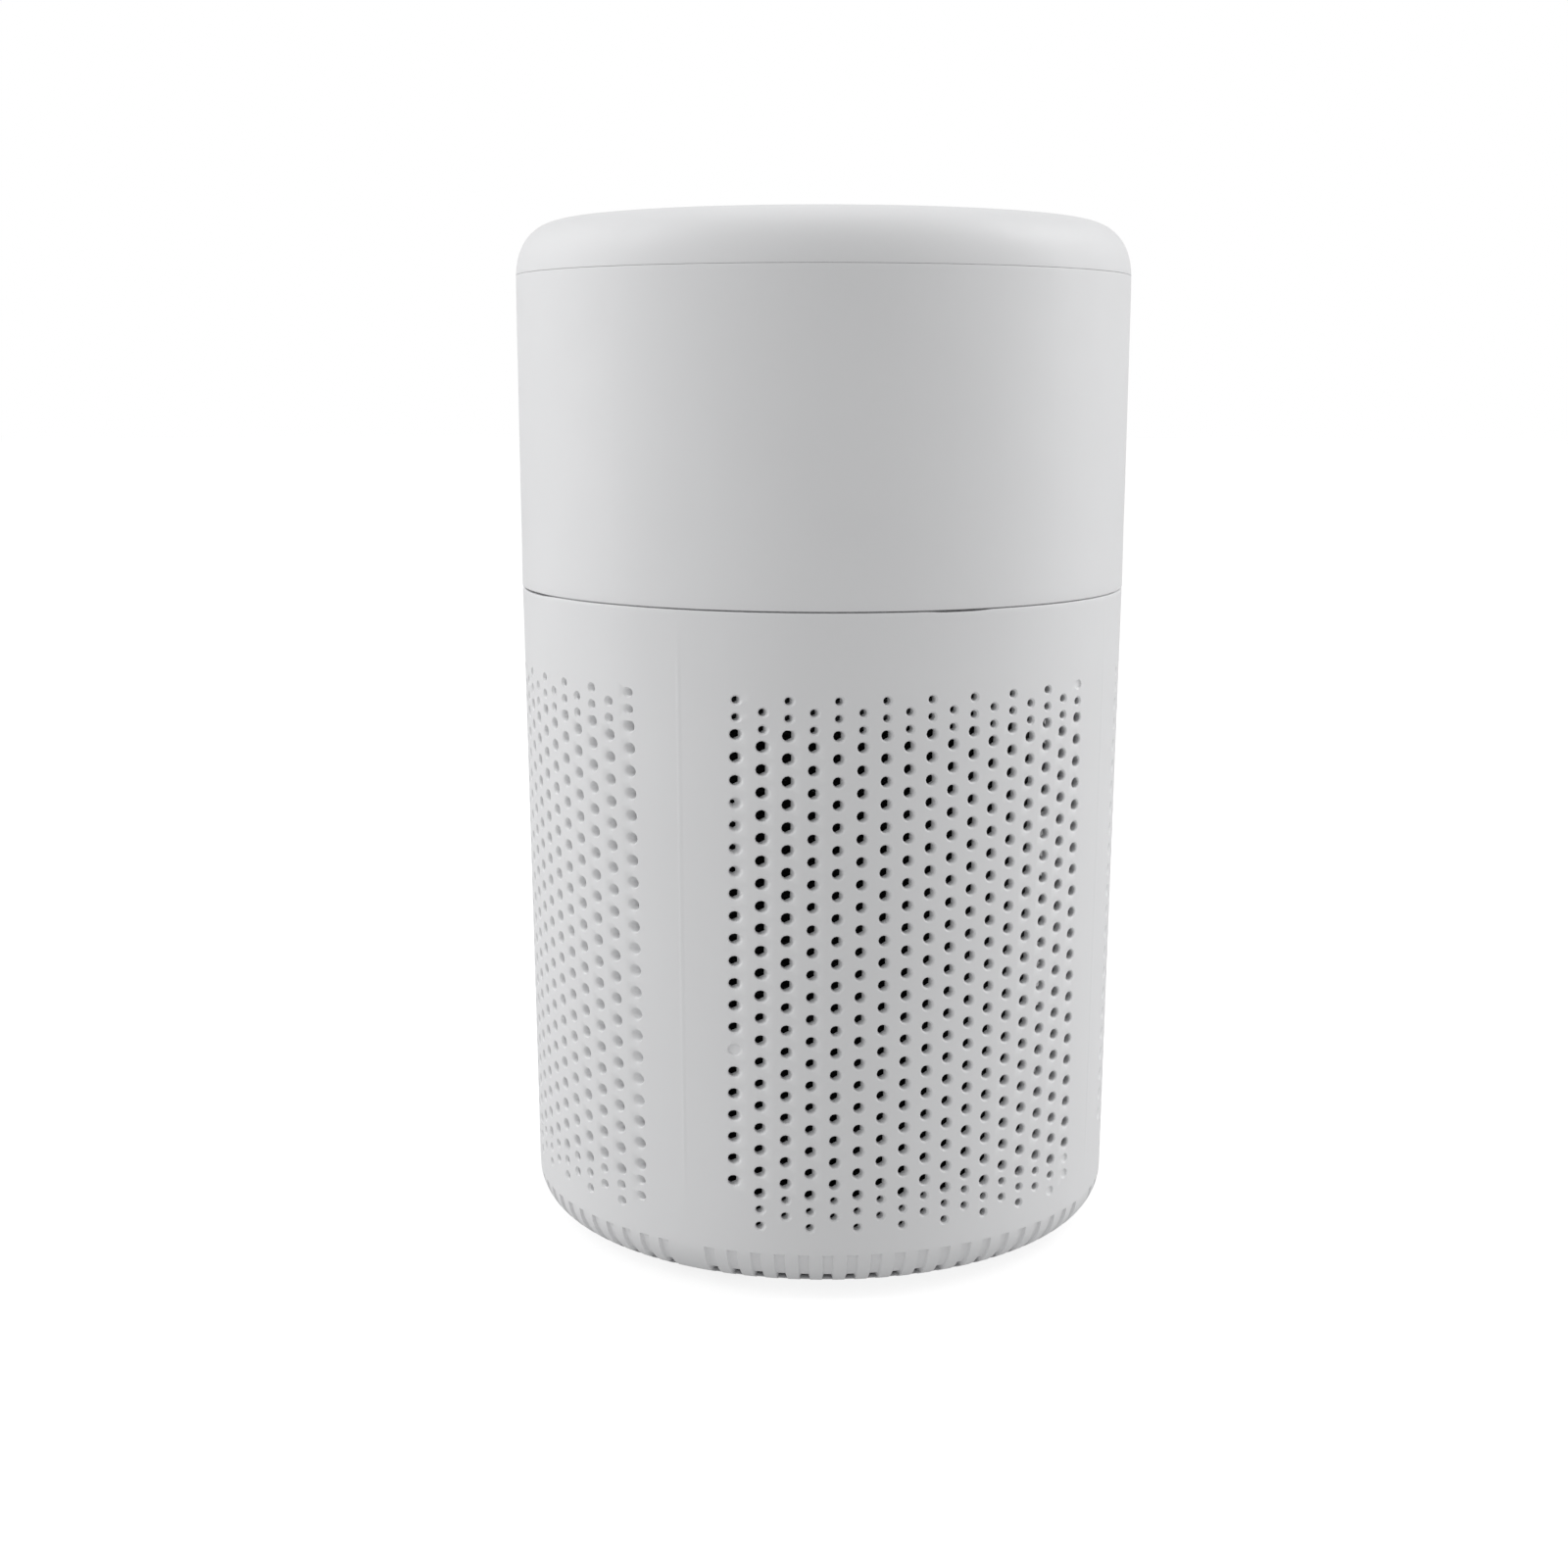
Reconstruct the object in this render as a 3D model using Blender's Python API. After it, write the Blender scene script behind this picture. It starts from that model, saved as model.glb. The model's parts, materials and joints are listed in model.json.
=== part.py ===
"""Cylindrical desktop air purifier, about 19 cm tall and 12 cm across.

The frame has its origin at the middle of the base, on the surface the purifier stands on.
+Z is up and -Y is the front. The four intake panels face -Y, +X, +Y and -X.

Air enters through the slotted panels, passes through the filter to its core, is drawn up by the
impeller through the inlet deck, and leaves through the grille in the top.
"""

import math

import bmesh
import bpy
from mathutils import Matrix, Vector

MM = 0.001

# ---------------------------------------------------------------------------------------------
# Driving dimensions
# ---------------------------------------------------------------------------------------------
HEIGHT = 192.1 * MM
SHELL_BOTTOM = 1.2 * MM          # underside of the lower shell, over its rubber feet
WALL = 2.2 * MM
GAP = 0.3 * MM                   # clearance between pieces that touch

SHOULDER_RADIUS = 58.2 * MM      # widest place, where the shoulder starts
UPPER_FOOT_RADIUS = 57.83 * MM   # upper housing at the middle seam
LOWER_TOP_RADIUS = 57.79 * MM    # lower shell at the middle seam
LOWER_FOOT_RADIUS = 56.10 * MM   # lower shell where the bottom rounding starts

MIDDLE_SEAM_Z = 123.7 * MM
MIDDLE_SEAM_WIDTH = 0.8 * MM
TOP_SEAM_Z = 182.05 * MM
TOP_SEAM_WIDTH = 0.6 * MM

SHOULDER_Z = 180.5 * MM          # start of the rounded shoulder
SHOULDER_INSET = 10.7 * MM       # how far the shoulder comes in
SHOULDER_POWER = 2.5             # roundness of the shoulder's superellipse
BOTTOM_ROUND_Z = 9.2 * MM        # start of the bottom rounding
BOTTOM_INSET = 7.7 * MM
BOTTOM_POWER = 2.05

# Intake panels
PANELS = 4
SLOTS_PER_PANEL = 7
SLOT_PITCH = 10.15 * MM          # across the panel, in its flat projection
SLOT_WIDTH = 1.8 * MM
SLOT_BOTTOM_Z = 12.5 * MM
SLOT_TOP_Z = 109.5 * MM
STRIP_STEPS = 4                  # facets of the blank strip between two panels

# Bottom cover with its bayonet
COVER_OPENING_RADIUS = 43.5 * MM
LEDGE_RADIUS = 41.9 * MM
LEDGE_BOTTOM_Z = 3.6 * MM
LEDGE_TOP_Z = 5.4 * MM
LUGS = 4
LUG_ANGLE = math.radians(14.0)
LUG_GAP_ANGLE = math.radians(17.0)
COVER_TWIST = math.radians(24.0)

# Feet
FEET = 4
FOOT_HEIGHT = 0.9 * MM
FOOT_INNER_RADIUS = 44.2 * MM
FOOT_OUTER_RADIUS = 47.6 * MM
FOOT_HALF_ANGLE = math.radians(9.0)

# Filter cartridge
FILTER_BOTTOM_Z = 9.6 * MM
FILTER_TOP_Z = 106.4 * MM
FILTER_CAP_HEIGHT = 3.5 * MM
FILTER_CAP_RADIUS = 41.2 * MM
FILTER_BORE_RADIUS = 23.0 * MM
PREFILTER_RADIUS = 40.8 * MM
PREFILTER_THICKNESS = 0.6 * MM
PLEATS = 36
PLEAT_OUTER_RADIUS = 39.2 * MM
PLEAT_INNER_RADIUS = 30.2 * MM
PAPER_THICKNESS = 0.8 * MM
CARBON_OUTER_RADIUS = 28.6 * MM
CARBON_THICKNESS = 3.0 * MM

# Fan
DECK_Z = 111.0 * MM
DECK_THICKNESS = 2.0 * MM
DECK_RADIUS = 54.6 * MM
INLET_RADIUS = 31.0 * MM
INLET_LIP_Z = 121.0 * MM
DUCT_OUTER_RADIUS = 45.6 * MM
DUCT_INNER_RADIUS = 44.0 * MM
DUCT_TOP_Z = 160.0 * MM
HUB_RADIUS = 24.0 * MM
HUB_Z = 149.0 * MM
HUB_TOP_Z = 166.0 * MM
HUB_WALL = 1.6 * MM
HUB_FLOOR = 2.0 * MM
STATOR_VANES = 7
IMPELLER_BLADES = 9
BLADE_THICKNESS = 1.3 * MM
BLADE_TIP_RADIUS = 41.5 * MM
BLADE_ROOT_RADIUS = 17.9 * MM
BLADE_SWEEP = math.radians(48.0)
BLADE_FLAT_SHARE = 0.62          # share of a blade, from its root, with a level lower edge
BLADE_TIP_RISE = 9.0 * MM
IMPELLER_BOTTOM_Z = 123.0 * MM   # tip of the impeller's nose
NOSE_RADIUS = 16.5 * MM
# Lower side of the impeller's back plate, as (radius, z) from the nose out to the rim
BACK_PLATE = [(NOSE_RADIUS, 123.8 * MM), (19.2 * MM, 126.0 * MM), (20.5 * MM, 130.0 * MM),
              (23.5 * MM, 135.5 * MM), (30.0 * MM, 140.0 * MM), (42.0 * MM, 143.6 * MM)]

# Motor
SHAFT_RADIUS = 1.5 * MM
ROTOR_BORE_RADIUS = 1.8 * MM
ROTOR_RADIUS = 17.0 * MM
ROTOR_WALL = 2.0 * MM
ROTOR_BOTTOM_Z = 126.3 * MM
ROTOR_TOP_Z = 143.0 * MM
MOTOR_PLATE_RADIUS = 15.0 * MM
MOTOR_PLATE_THICKNESS = 2.0 * MM
BEARING_TUBE_INNER = 4.2 * MM
BEARING_TUBE_OUTER = 6.0 * MM
BEARING_TUBE_BOTTOM_Z = 130.0 * MM
BEARING_HEIGHT = 3.5 * MM
UPPER_BEARING_Z = 142.0 * MM
STATOR_CORE_RADIUS = 9.5 * MM
STATOR_BOTTOM_Z = 132.0 * MM
STATOR_TOP_Z = 141.0 * MM
STATOR_POLES = 9

# Screws
SCREW_RADIUS = 0.95 * MM
SCREW_HOLE_RADIUS = 1.3 * MM
SCREW_HEAD_RADIUS = 2.4 * MM
SCREW_HEAD_HEIGHT = 1.6 * MM
DECK_SCREW_CIRCLE = 48.4 * MM
HOUSING_SCREW_CIRCLE = 52.5 * MM
MOTOR_SCREW_CIRCLE = 10.0 * MM
BOARD_SCREW_X = 14.0 * MM
TAB_Z = 146.0 * MM
TAB_THICKNESS = 2.0 * MM

# Top
CAP_OPENING_RADIUS = 44.6 * MM
CAP_LIP_Z = 189.6 * MM           # underside of the cap's inner lip
GRILLE_Z = 186.9 * MM
GRILLE_THICKNESS = 2.4 * MM
GRILLE_INNER_RADIUS = 26.0 * MM
GRILLE_OUTER_RADIUS = 47.2 * MM
GRILLE_SLOTS = 24
PANEL_RADIUS = 23.4 * MM
PANEL_TOP_Z = 191.2 * MM
PANEL_THICKNESS = 2.0 * MM
RING_INNER_RADIUS = 23.8 * MM
RING_OUTER_RADIUS = 25.6 * MM
BOX_Z = 170.0 * MM
BOX_TOP_Z = 185.2 * MM
BOARD_Z = 180.0 * MM
BOARD_THICKNESS = 1.6 * MM
POWER_BUTTON_RADIUS = 8.0 * MM
LIGHT_BUTTON_RADIUS = 3.4 * MM
LIGHT_BUTTON_Y = -17.0 * MM
BUTTON_CLEARANCE = 0.4 * MM
SWITCH_WIDTH = 6.2 * MM
SWITCH_HEIGHT = 3.4 * MM
PLUNGER_RADIUS = 1.6 * MM

# Power socket
SOCKET_Z = 136.0 * MM
SOCKET_BORE_RADIUS = 2.9 * MM
SOCKET_PIN_RADIUS = 1.0 * MM
SOCKET_BARREL_RADIUS = 4.3 * MM
SOCKET_DEPTH = 8.5 * MM

# Facets around the axis
SHELL_STEPS = 40
INNER_STEPS = 24
SMALL_STEPS = 12
BOSS_STEPS = 8
SCREW_STEPS = 6
SHARP_ANGLE = math.radians(35.0)
WELD_DISTANCE = 1e-6


# ---------------------------------------------------------------------------------------------
# Scene, materials and objects
# ---------------------------------------------------------------------------------------------
def clear_scene():
    for obj in list(bpy.data.objects):
        bpy.data.objects.remove(obj, do_unlink=True)


def make_material(name, colour, roughness, metallic=0.0):
    material = bpy.data.materials.new(name)
    material.use_nodes = True
    shader = material.node_tree.nodes["Principled BSDF"]
    shader.inputs["Base Color"].default_value = (*colour, 1.0)
    shader.inputs["Roughness"].default_value = roughness
    shader.inputs["Metallic"].default_value = metallic
    material.diffuse_color = (*colour, 1.0)
    return material


def add_object(name, bm, material, parent=None, location=(0.0, 0.0, 0.0)):
    """Turn a bmesh into a named object with outward faces and smooth shading."""
    bmesh.ops.recalc_face_normals(bm, faces=bm.faces)
    mesh = bpy.data.meshes.new(name)
    bm.to_mesh(mesh)
    bm.free()
    mesh.shade_smooth()
    mesh.set_sharp_from_angle(angle=SHARP_ANGLE)
    mesh.materials.append(material)
    obj = bpy.data.objects.new(name, mesh)
    bpy.context.scene.collection.objects.link(obj)
    obj.location = location
    obj.parent = parent
    return obj


def add_pivot(name):
    """Empty on the purifier's axis, which a moving piece hangs on."""
    pivot = bpy.data.objects.new(name, None)
    bpy.context.scene.collection.objects.link(pivot)
    return pivot


def shape(target, tool_bm, operation):
    """Join a tool to the target, or cut it away, with a Boolean modifier."""
    count = len(target.modifiers) + 1
    tool = add_object(f"{target.name}_tool_{count}", tool_bm, target.data.materials[0])
    tool.hide_render = True
    tool.display_type = "WIRE"
    tool.location = target.location
    modifier = target.modifiers.new(f"{operation.title()} {count}", "BOOLEAN")
    modifier.operation = operation
    modifier.object = tool


# ---------------------------------------------------------------------------------------------
# Shapes, all about the Z axis unless a place is given
# ---------------------------------------------------------------------------------------------
def polar(radius, angle, z=0.0):
    return Vector((radius * math.cos(angle), radius * math.sin(angle), z))


def spread(count, start=0.0):
    """Angles of pieces that are evenly spaced around the axis."""
    return [start + math.tau * index / count for index in range(count)]


def turned(profile, steps):
    """Body of revolution from (radius, height) points.

    A profile clear of the axis is closed into a ring. One that starts and ends on the axis is not.
    """
    bm = bmesh.new()
    verts = [bm.verts.new((radius, 0.0, z)) for radius, z in profile]
    edges = [bm.edges.new(pair) for pair in zip(verts, verts[1:])]
    if profile[0][0] > 0.0:
        edges.append(bm.edges.new((verts[-1], verts[0])))
    bmesh.ops.spin(bm, geom=verts + edges, cent=(0, 0, 0), axis=(0, 0, 1), angle=math.tau,
                   steps=steps, use_merge=True)
    bmesh.ops.remove_doubles(bm, verts=bm.verts, dist=WELD_DISTANCE)
    return bm


def ring(inner, outer, bottom, top, steps):
    return turned([(inner, bottom), (outer, bottom), (outer, top), (inner, top)], steps)


def disc(radius, bottom, top, steps):
    return turned([(0.0, bottom), (radius, bottom), (radius, top), (0.0, top)], steps)


def add_rod(bm, radius, bottom, top, x, y, steps):
    """Upright rod at a place, added to an open bmesh."""
    place = Matrix.Translation((x, y, 0.5 * (bottom + top)))
    bmesh.ops.create_cone(bm, cap_ends=True, segments=steps, radius1=radius, radius2=radius,
                          depth=top - bottom, matrix=place)


def add_block(bm, size, centre, turn=0.0):
    """Block of a size, centred at a place and then turned about the Z axis."""
    place = Matrix.Rotation(turn, 4, "Z") @ Matrix.Translation(centre) @ Matrix.Diagonal((*size, 1.0))
    bmesh.ops.create_cube(bm, size=1.0, matrix=place)


def rods(places, radius, bottom, top, steps):
    bm = bmesh.new()
    for place in places:
        add_rod(bm, radius, bottom, top, place.x, place.y, steps)
    return bm


def arc_pad(inner, outer, middle_angle, half_angle, bottom, top, steps):
    """Flat pad between two radii and two angles."""
    bm = bmesh.new()
    start = middle_angle - half_angle
    angles = [start + 2.0 * half_angle * index / steps for index in range(steps + 1)]
    outline = [polar(outer, angle, bottom) for angle in angles]
    outline += [polar(inner, angle, bottom) for angle in reversed(angles)]
    face = bm.faces.new([bm.verts.new(point) for point in outline])
    sides = bmesh.ops.extrude_face_region(bm, geom=[face])
    lifted = [item for item in sides["geom"] if isinstance(item, bmesh.types.BMVert)]
    bmesh.ops.translate(bm, verts=lifted, vec=(0.0, 0.0, top - bottom))
    return bm


def slotted_ring(profile, angles, open_segments, first_row, second_row):
    """Ring turned through uneven angles, cut right through between two opposite profile rows.

    Row n runs from profile point n to n + 1. The two rows face each other across the wall.
    """
    bm = bmesh.new()
    rings = [[bm.verts.new(polar(radius, angle, z)) for radius, z in profile] for angle in angles]
    rows = len(profile)
    for segment, here in enumerate(rings):
        there = rings[(segment + 1) % len(rings)]
        is_open = segment in open_segments
        for row in range(rows):
            if is_open and row in (first_row, second_row):
                continue
            after = (row + 1) % rows
            bm.faces.new((here[row], there[row], there[after], here[after]))
        if is_open:
            near = (first_row, (second_row + 1) % rows)
            far = (first_row + 1, second_row)
            bm.faces.new((here[near[0]], there[near[0]], there[near[1]], here[near[1]]))
            bm.faces.new((here[far[0]], there[far[0]], there[far[1]], here[far[1]]))
            for side in (here, there):
                bm.faces.new((side[near[0]], side[far[0]], side[far[1]], side[near[1]]))
    return bm


def corner_arc(radius, z, inset, drop, power, steps):
    """Superellipse corner from a wall at (radius, z), coming in by inset over the height drop."""
    points = []
    for index in range(steps + 1):
        angle = 0.5 * math.pi * index / steps
        along = math.sin(angle) ** (2.0 / power)
        inward = 1.0 - math.cos(angle) ** (2.0 / power)
        points.append((radius - inset * inward, z + drop * along))
    return points


# ---------------------------------------------------------------------------------------------
# Materials
# ---------------------------------------------------------------------------------------------
clear_scene()
WHITE = make_material("white_abs", (0.80, 0.81, 0.82), 0.42)
WHITE_INNER = make_material("white_inner_abs", (0.70, 0.71, 0.72), 0.55)
GREY = make_material("grey_abs", (0.16, 0.17, 0.18), 0.5)
BLACK = make_material("black_abs", (0.02, 0.02, 0.022), 0.45)
DIFFUSER = make_material("milky_diffuser", (0.86, 0.88, 0.90), 0.35)
RUBBER = make_material("grey_rubber", (0.10, 0.10, 0.11), 0.8)
FOAM = make_material("black_foam", (0.03, 0.03, 0.032), 0.95)
PAPER = make_material("filter_paper", (0.83, 0.84, 0.82), 0.9)
CARBON = make_material("carbon_felt", (0.012, 0.012, 0.013), 0.95)
MESH = make_material("prefilter_mesh", (0.02, 0.021, 0.023), 0.85)
STEEL = make_material("zinc_steel", (0.55, 0.55, 0.54), 0.35, 1.0)
COPPER = make_material("copper_winding", (0.62, 0.30, 0.14), 0.4, 1.0)
BRONZE = make_material("sintered_bronze", (0.48, 0.33, 0.18), 0.45, 1.0)
BOARD = make_material("circuit_board", (0.02, 0.16, 0.07), 0.5)
CABLE = make_material("cable_pvc", (0.03, 0.03, 0.035), 0.6)


# ---------------------------------------------------------------------------------------------
# Outer shells
# ---------------------------------------------------------------------------------------------
def wall_radius(z):
    """Outer radius of the lower shell's tapered wall at a height."""
    share = (z - BOTTOM_ROUND_Z) / (MIDDLE_SEAM_Z - BOTTOM_ROUND_Z)
    return LOWER_FOOT_RADIUS + (LOWER_TOP_RADIUS - LOWER_FOOT_RADIUS) * share


def panel_segments():
    """Angles of the facets around the lower shell, and which of them are slots."""
    angles = []
    slots = set()
    radius = wall_radius(0.5 * (SLOT_BOTTOM_Z + SLOT_TOP_Z))
    for middle in spread(PANELS):
        for index in range(SLOTS_PER_PANEL):
            across = (index - 0.5 * (SLOTS_PER_PANEL - 1)) * SLOT_PITCH
            slots.add(len(angles))
            for edge in (-0.5, 0.5):
                angles.append(middle + math.asin((across + edge * SLOT_WIDTH) / radius))
        last = angles[-1]
        strip = middle + math.tau / PANELS - (last - middle) - last
        angles += [last + strip * step / STRIP_STEPS for step in range(1, STRIP_STEPS)]
    return angles, slots


def make_lower_shell():
    corner = corner_arc(LOWER_FOOT_RADIUS, BOTTOM_ROUND_Z, BOTTOM_INSET,
                        SHELL_BOTTOM - BOTTOM_ROUND_Z, BOTTOM_POWER, 3)
    rim_z = MIDDLE_SEAM_Z - 0.5 * MIDDLE_SEAM_WIDTH
    lip_top = rim_z + 3.2 * MM
    lip_outer = LOWER_TOP_RADIUS - 1.5 * MM
    lip_inner = LOWER_TOP_RADIUS - 2.7 * MM
    floor_top = SHELL_BOTTOM + 2.4 * MM
    profile = [(COVER_OPENING_RADIUS, SHELL_BOTTOM)] + corner[::-1]
    slot_row = len(profile)
    profile += [
        (wall_radius(SLOT_BOTTOM_Z), SLOT_BOTTOM_Z),
        (wall_radius(SLOT_TOP_Z), SLOT_TOP_Z),
        (LOWER_TOP_RADIUS, rim_z),
        (lip_outer, rim_z),
        (lip_outer, lip_top),
        (lip_inner, lip_top),
    ]
    back_row = len(profile)
    profile += [
        (wall_radius(SLOT_TOP_Z) - WALL, SLOT_TOP_Z),
        (wall_radius(SLOT_BOTTOM_Z) - WALL, SLOT_BOTTOM_Z),
        (wall_radius(SLOT_BOTTOM_Z) - 6.5 * MM, floor_top),
        (LEDGE_RADIUS + 3.6 * MM, floor_top),
        (LEDGE_RADIUS + 3.6 * MM, LEDGE_TOP_Z),
        (LEDGE_RADIUS, LEDGE_TOP_Z),
        (LEDGE_RADIUS, LEDGE_BOTTOM_Z),
        (COVER_OPENING_RADIUS, LEDGE_BOTTOM_Z),
    ]
    angles, slots = panel_segments()
    shell = add_object("lower_shell", slotted_ring(profile, angles, slots, slot_row, back_row), WHITE)
    for angle in spread(LUGS, -COVER_TWIST):
        gap = arc_pad(LEDGE_RADIUS - 1.0 * MM, COVER_OPENING_RADIUS + 0.1 * MM, angle,
                      0.5 * LUG_GAP_ANGLE, LEDGE_BOTTOM_Z - 0.5 * MM, LEDGE_TOP_Z + 0.5 * MM, 3)
        shape(shell, gap, "DIFFERENCE")


def make_upper_housing():
    bottom = MIDDLE_SEAM_Z + 0.5 * MIDDLE_SEAM_WIDTH
    top = TOP_SEAM_Z - 0.5 * TOP_SEAM_WIDTH
    inner = UPPER_FOOT_RADIUS - WALL
    rabbet = LOWER_TOP_RADIUS - 1.0 * MM
    profile = [
        (rabbet, bottom),
        (UPPER_FOOT_RADIUS, bottom),
        (SHOULDER_RADIUS, top),
        (inner, top),
        (inner, bottom + 3.2 * MM),
        (rabbet, bottom + 3.2 * MM),
    ]
    housing = add_object("upper_housing", turned(profile, SHELL_STEPS), WHITE)
    boss_bottom = TAB_Z + TAB_THICKNESS + GAP
    places = [polar(HOUSING_SCREW_CIRCLE, angle) for angle in spread(4, math.radians(22.5))]
    shape(housing, rods(places, 3.8 * MM, boss_bottom, boss_bottom + 13.0 * MM, BOSS_STEPS), "UNION")
    shape(housing, rods(places, SCREW_HOLE_RADIUS, boss_bottom - 1.0 * MM, boss_bottom + 10.5 * MM,
                        SCREW_STEPS), "DIFFERENCE")
    window = bmesh.new()
    place = Matrix.Translation((0.0, UPPER_FOOT_RADIUS, SOCKET_Z)) @ Matrix.Rotation(0.5 * math.pi, 4, "X")
    bmesh.ops.create_cone(window, cap_ends=True, segments=SMALL_STEPS, depth=12.0 * MM, matrix=place,
                          radius1=SOCKET_BARREL_RADIUS + GAP, radius2=SOCKET_BARREL_RADIUS + GAP)
    shape(housing, window, "DIFFERENCE")


def make_top_cap():
    bottom = TOP_SEAM_Z + 0.5 * TOP_SEAM_WIDTH
    shoulder = corner_arc(SHOULDER_RADIUS, SHOULDER_Z, SHOULDER_INSET, HEIGHT - SHOULDER_Z,
                          SHOULDER_POWER, 7)
    above = [point for point in shoulder if point[1] > bottom + 0.3 * MM]
    skirt_outer = UPPER_FOOT_RADIUS - WALL - 0.6 * MM
    skirt_inner = skirt_outer - 1.6 * MM
    skirt_bottom = bottom - 5.8 * MM
    profile = [(skirt_outer, skirt_bottom), (skirt_outer, bottom)]
    profile += [(SHOULDER_RADIUS - 0.03 * MM, bottom)] + above
    profile += [
        (CAP_OPENING_RADIUS + 0.6 * MM, HEIGHT),
        (CAP_OPENING_RADIUS, HEIGHT - 0.6 * MM),
        (CAP_OPENING_RADIUS, CAP_LIP_Z),
        (GRILLE_OUTER_RADIUS + 1.2 * MM, CAP_LIP_Z),
        (skirt_inner, GRILLE_Z - 1.4 * MM),
        (skirt_inner, skirt_bottom),
    ]
    add_object("top_cap", turned(profile, SHELL_STEPS), WHITE)


def make_outlet_grille():
    top = GRILLE_Z + GRILLE_THICKNESS
    slot_inner = GRILLE_INNER_RADIUS + 2.6 * MM
    slot_outer = CAP_OPENING_RADIUS - 2.0 * MM
    profile = [
        (GRILLE_INNER_RADIUS, top),
        (slot_inner, top),
        (slot_outer, top),
        (GRILLE_OUTER_RADIUS, top),
        (GRILLE_OUTER_RADIUS, GRILLE_Z),
        (slot_outer, GRILLE_Z),
        (slot_inner, GRILLE_Z),
        (GRILLE_INNER_RADIUS, GRILLE_Z),
    ]
    step = math.tau / GRILLE_SLOTS
    open_share = 0.62
    angles = [start + edge for start in spread(GRILLE_SLOTS) for edge in (0.0, open_share * step)]
    slots = set(range(0, 2 * GRILLE_SLOTS, 2))
    add_object("outlet_grille", slotted_ring(profile, angles, slots, 1, 5), GREY)


def make_feet():
    for index, angle in enumerate(spread(FEET, math.radians(45.0)), start=1):
        pad = arc_pad(FOOT_INNER_RADIUS, FOOT_OUTER_RADIUS, angle, FOOT_HALF_ANGLE, 0.0, FOOT_HEIGHT, 4)
        add_object(f"foot_{index}", pad, RUBBER)


def make_power_socket():
    """Barrel socket in the back wall, pointing along +Y, with its centre pin."""
    face_y = UPPER_FOOT_RADIUS - 0.4 * MM
    back_y = face_y - SOCKET_DEPTH - 1.5 * MM
    block_front = UPPER_FOOT_RADIUS - WALL - 0.9 * MM
    block = bmesh.new()
    add_block(block, (10.0 * MM, block_front - back_y, 10.0 * MM),
              (0.0, 0.5 * (block_front + back_y), SOCKET_Z))
    socket = add_object("power_socket", block, BLACK)

    def bar(radius, start, end, steps):
        bm = bmesh.new()
        lying = Matrix.Rotation(0.5 * math.pi, 4, "X")
        place = Matrix.Translation((0.0, 0.5 * (start + end), SOCKET_Z)) @ lying
        bmesh.ops.create_cone(bm, cap_ends=True, segments=steps, radius1=radius, radius2=radius,
                              depth=end - start, matrix=place)
        return bm

    bore_end = face_y - SOCKET_DEPTH
    shape(socket, bar(SOCKET_BARREL_RADIUS, block_front - 1.0 * MM, face_y, SMALL_STEPS), "UNION")
    shape(socket, bar(SOCKET_BORE_RADIUS, bore_end, face_y + 1.0 * MM, SMALL_STEPS), "DIFFERENCE")
    shape(socket, bar(SOCKET_PIN_RADIUS, bore_end - 0.5 * MM, face_y - 1.0 * MM, SCREW_STEPS), "UNION")
    return back_y


# ---------------------------------------------------------------------------------------------
# Bottom cover and filter
# ---------------------------------------------------------------------------------------------
def make_bottom_cover():
    pivot = add_pivot("bottom_cover_pivot")
    bottom = SHELL_BOTTOM + 0.2 * MM
    disc_top = LEDGE_BOTTOM_Z - GAP
    neck_radius = LEDGE_RADIUS - 0.4 * MM
    lug_bottom = LEDGE_TOP_Z + GAP
    lug_top = lug_bottom + 1.4 * MM
    recess_depth = 3.4 * MM
    recess_radius = 17.0 * MM
    profile = [
        (0.0, bottom),
        (COVER_OPENING_RADIUS - 0.4 * MM, bottom),
        (COVER_OPENING_RADIUS - 0.4 * MM, disc_top),
        (neck_radius, disc_top),
        (neck_radius, lug_top),
        (neck_radius - 1.8 * MM, lug_top),
        (neck_radius - 1.8 * MM, disc_top),
        (recess_radius + 1.8 * MM, disc_top),
        (recess_radius + 1.8 * MM, bottom + recess_depth + 1.6 * MM),
        (0.0, bottom + recess_depth + 1.6 * MM),
    ]
    cover = add_object("bottom_cover", turned(profile, SHELL_STEPS), WHITE, pivot)
    lugs = bmesh.new()
    for angle in spread(LUGS):
        lug = arc_pad(neck_radius - 0.9 * MM, COVER_OPENING_RADIUS - 0.4 * MM, angle, 0.5 * LUG_ANGLE,
                      lug_bottom, lug_top, 2)
        mesh = bpy.data.meshes.new("lug")
        lug.to_mesh(mesh)
        lug.free()
        lugs.from_mesh(mesh)
        bpy.data.meshes.remove(mesh)
    shape(cover, lugs, "UNION")
    grip_half_width = 3.0 * MM
    for side in (1.0, -1.0):
        reach = math.acos(grip_half_width / recess_radius)
        start = math.copysign(0.5 * math.pi, side) - reach
        half_moon = bmesh.new()
        arc = [polar(recess_radius, start + 2.0 * reach * step / 12, bottom - 1.0 * MM) for step in range(13)]
        face = half_moon.faces.new([half_moon.verts.new(point) for point in arc])
        sides = bmesh.ops.extrude_face_region(half_moon, geom=[face])
        lifted = [item for item in sides["geom"] if isinstance(item, bmesh.types.BMVert)]
        bmesh.ops.translate(half_moon, verts=lifted, vec=(0.0, 0.0, recess_depth + 1.0 * MM))
        shape(cover, half_moon, "DIFFERENCE")
    pad = ring(recess_radius + 3.0 * MM, neck_radius - 3.0 * MM, disc_top + GAP, FILTER_BOTTOM_Z - GAP,
               INNER_STEPS)
    add_object("cover_pad", pad, FOAM, pivot)


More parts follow.
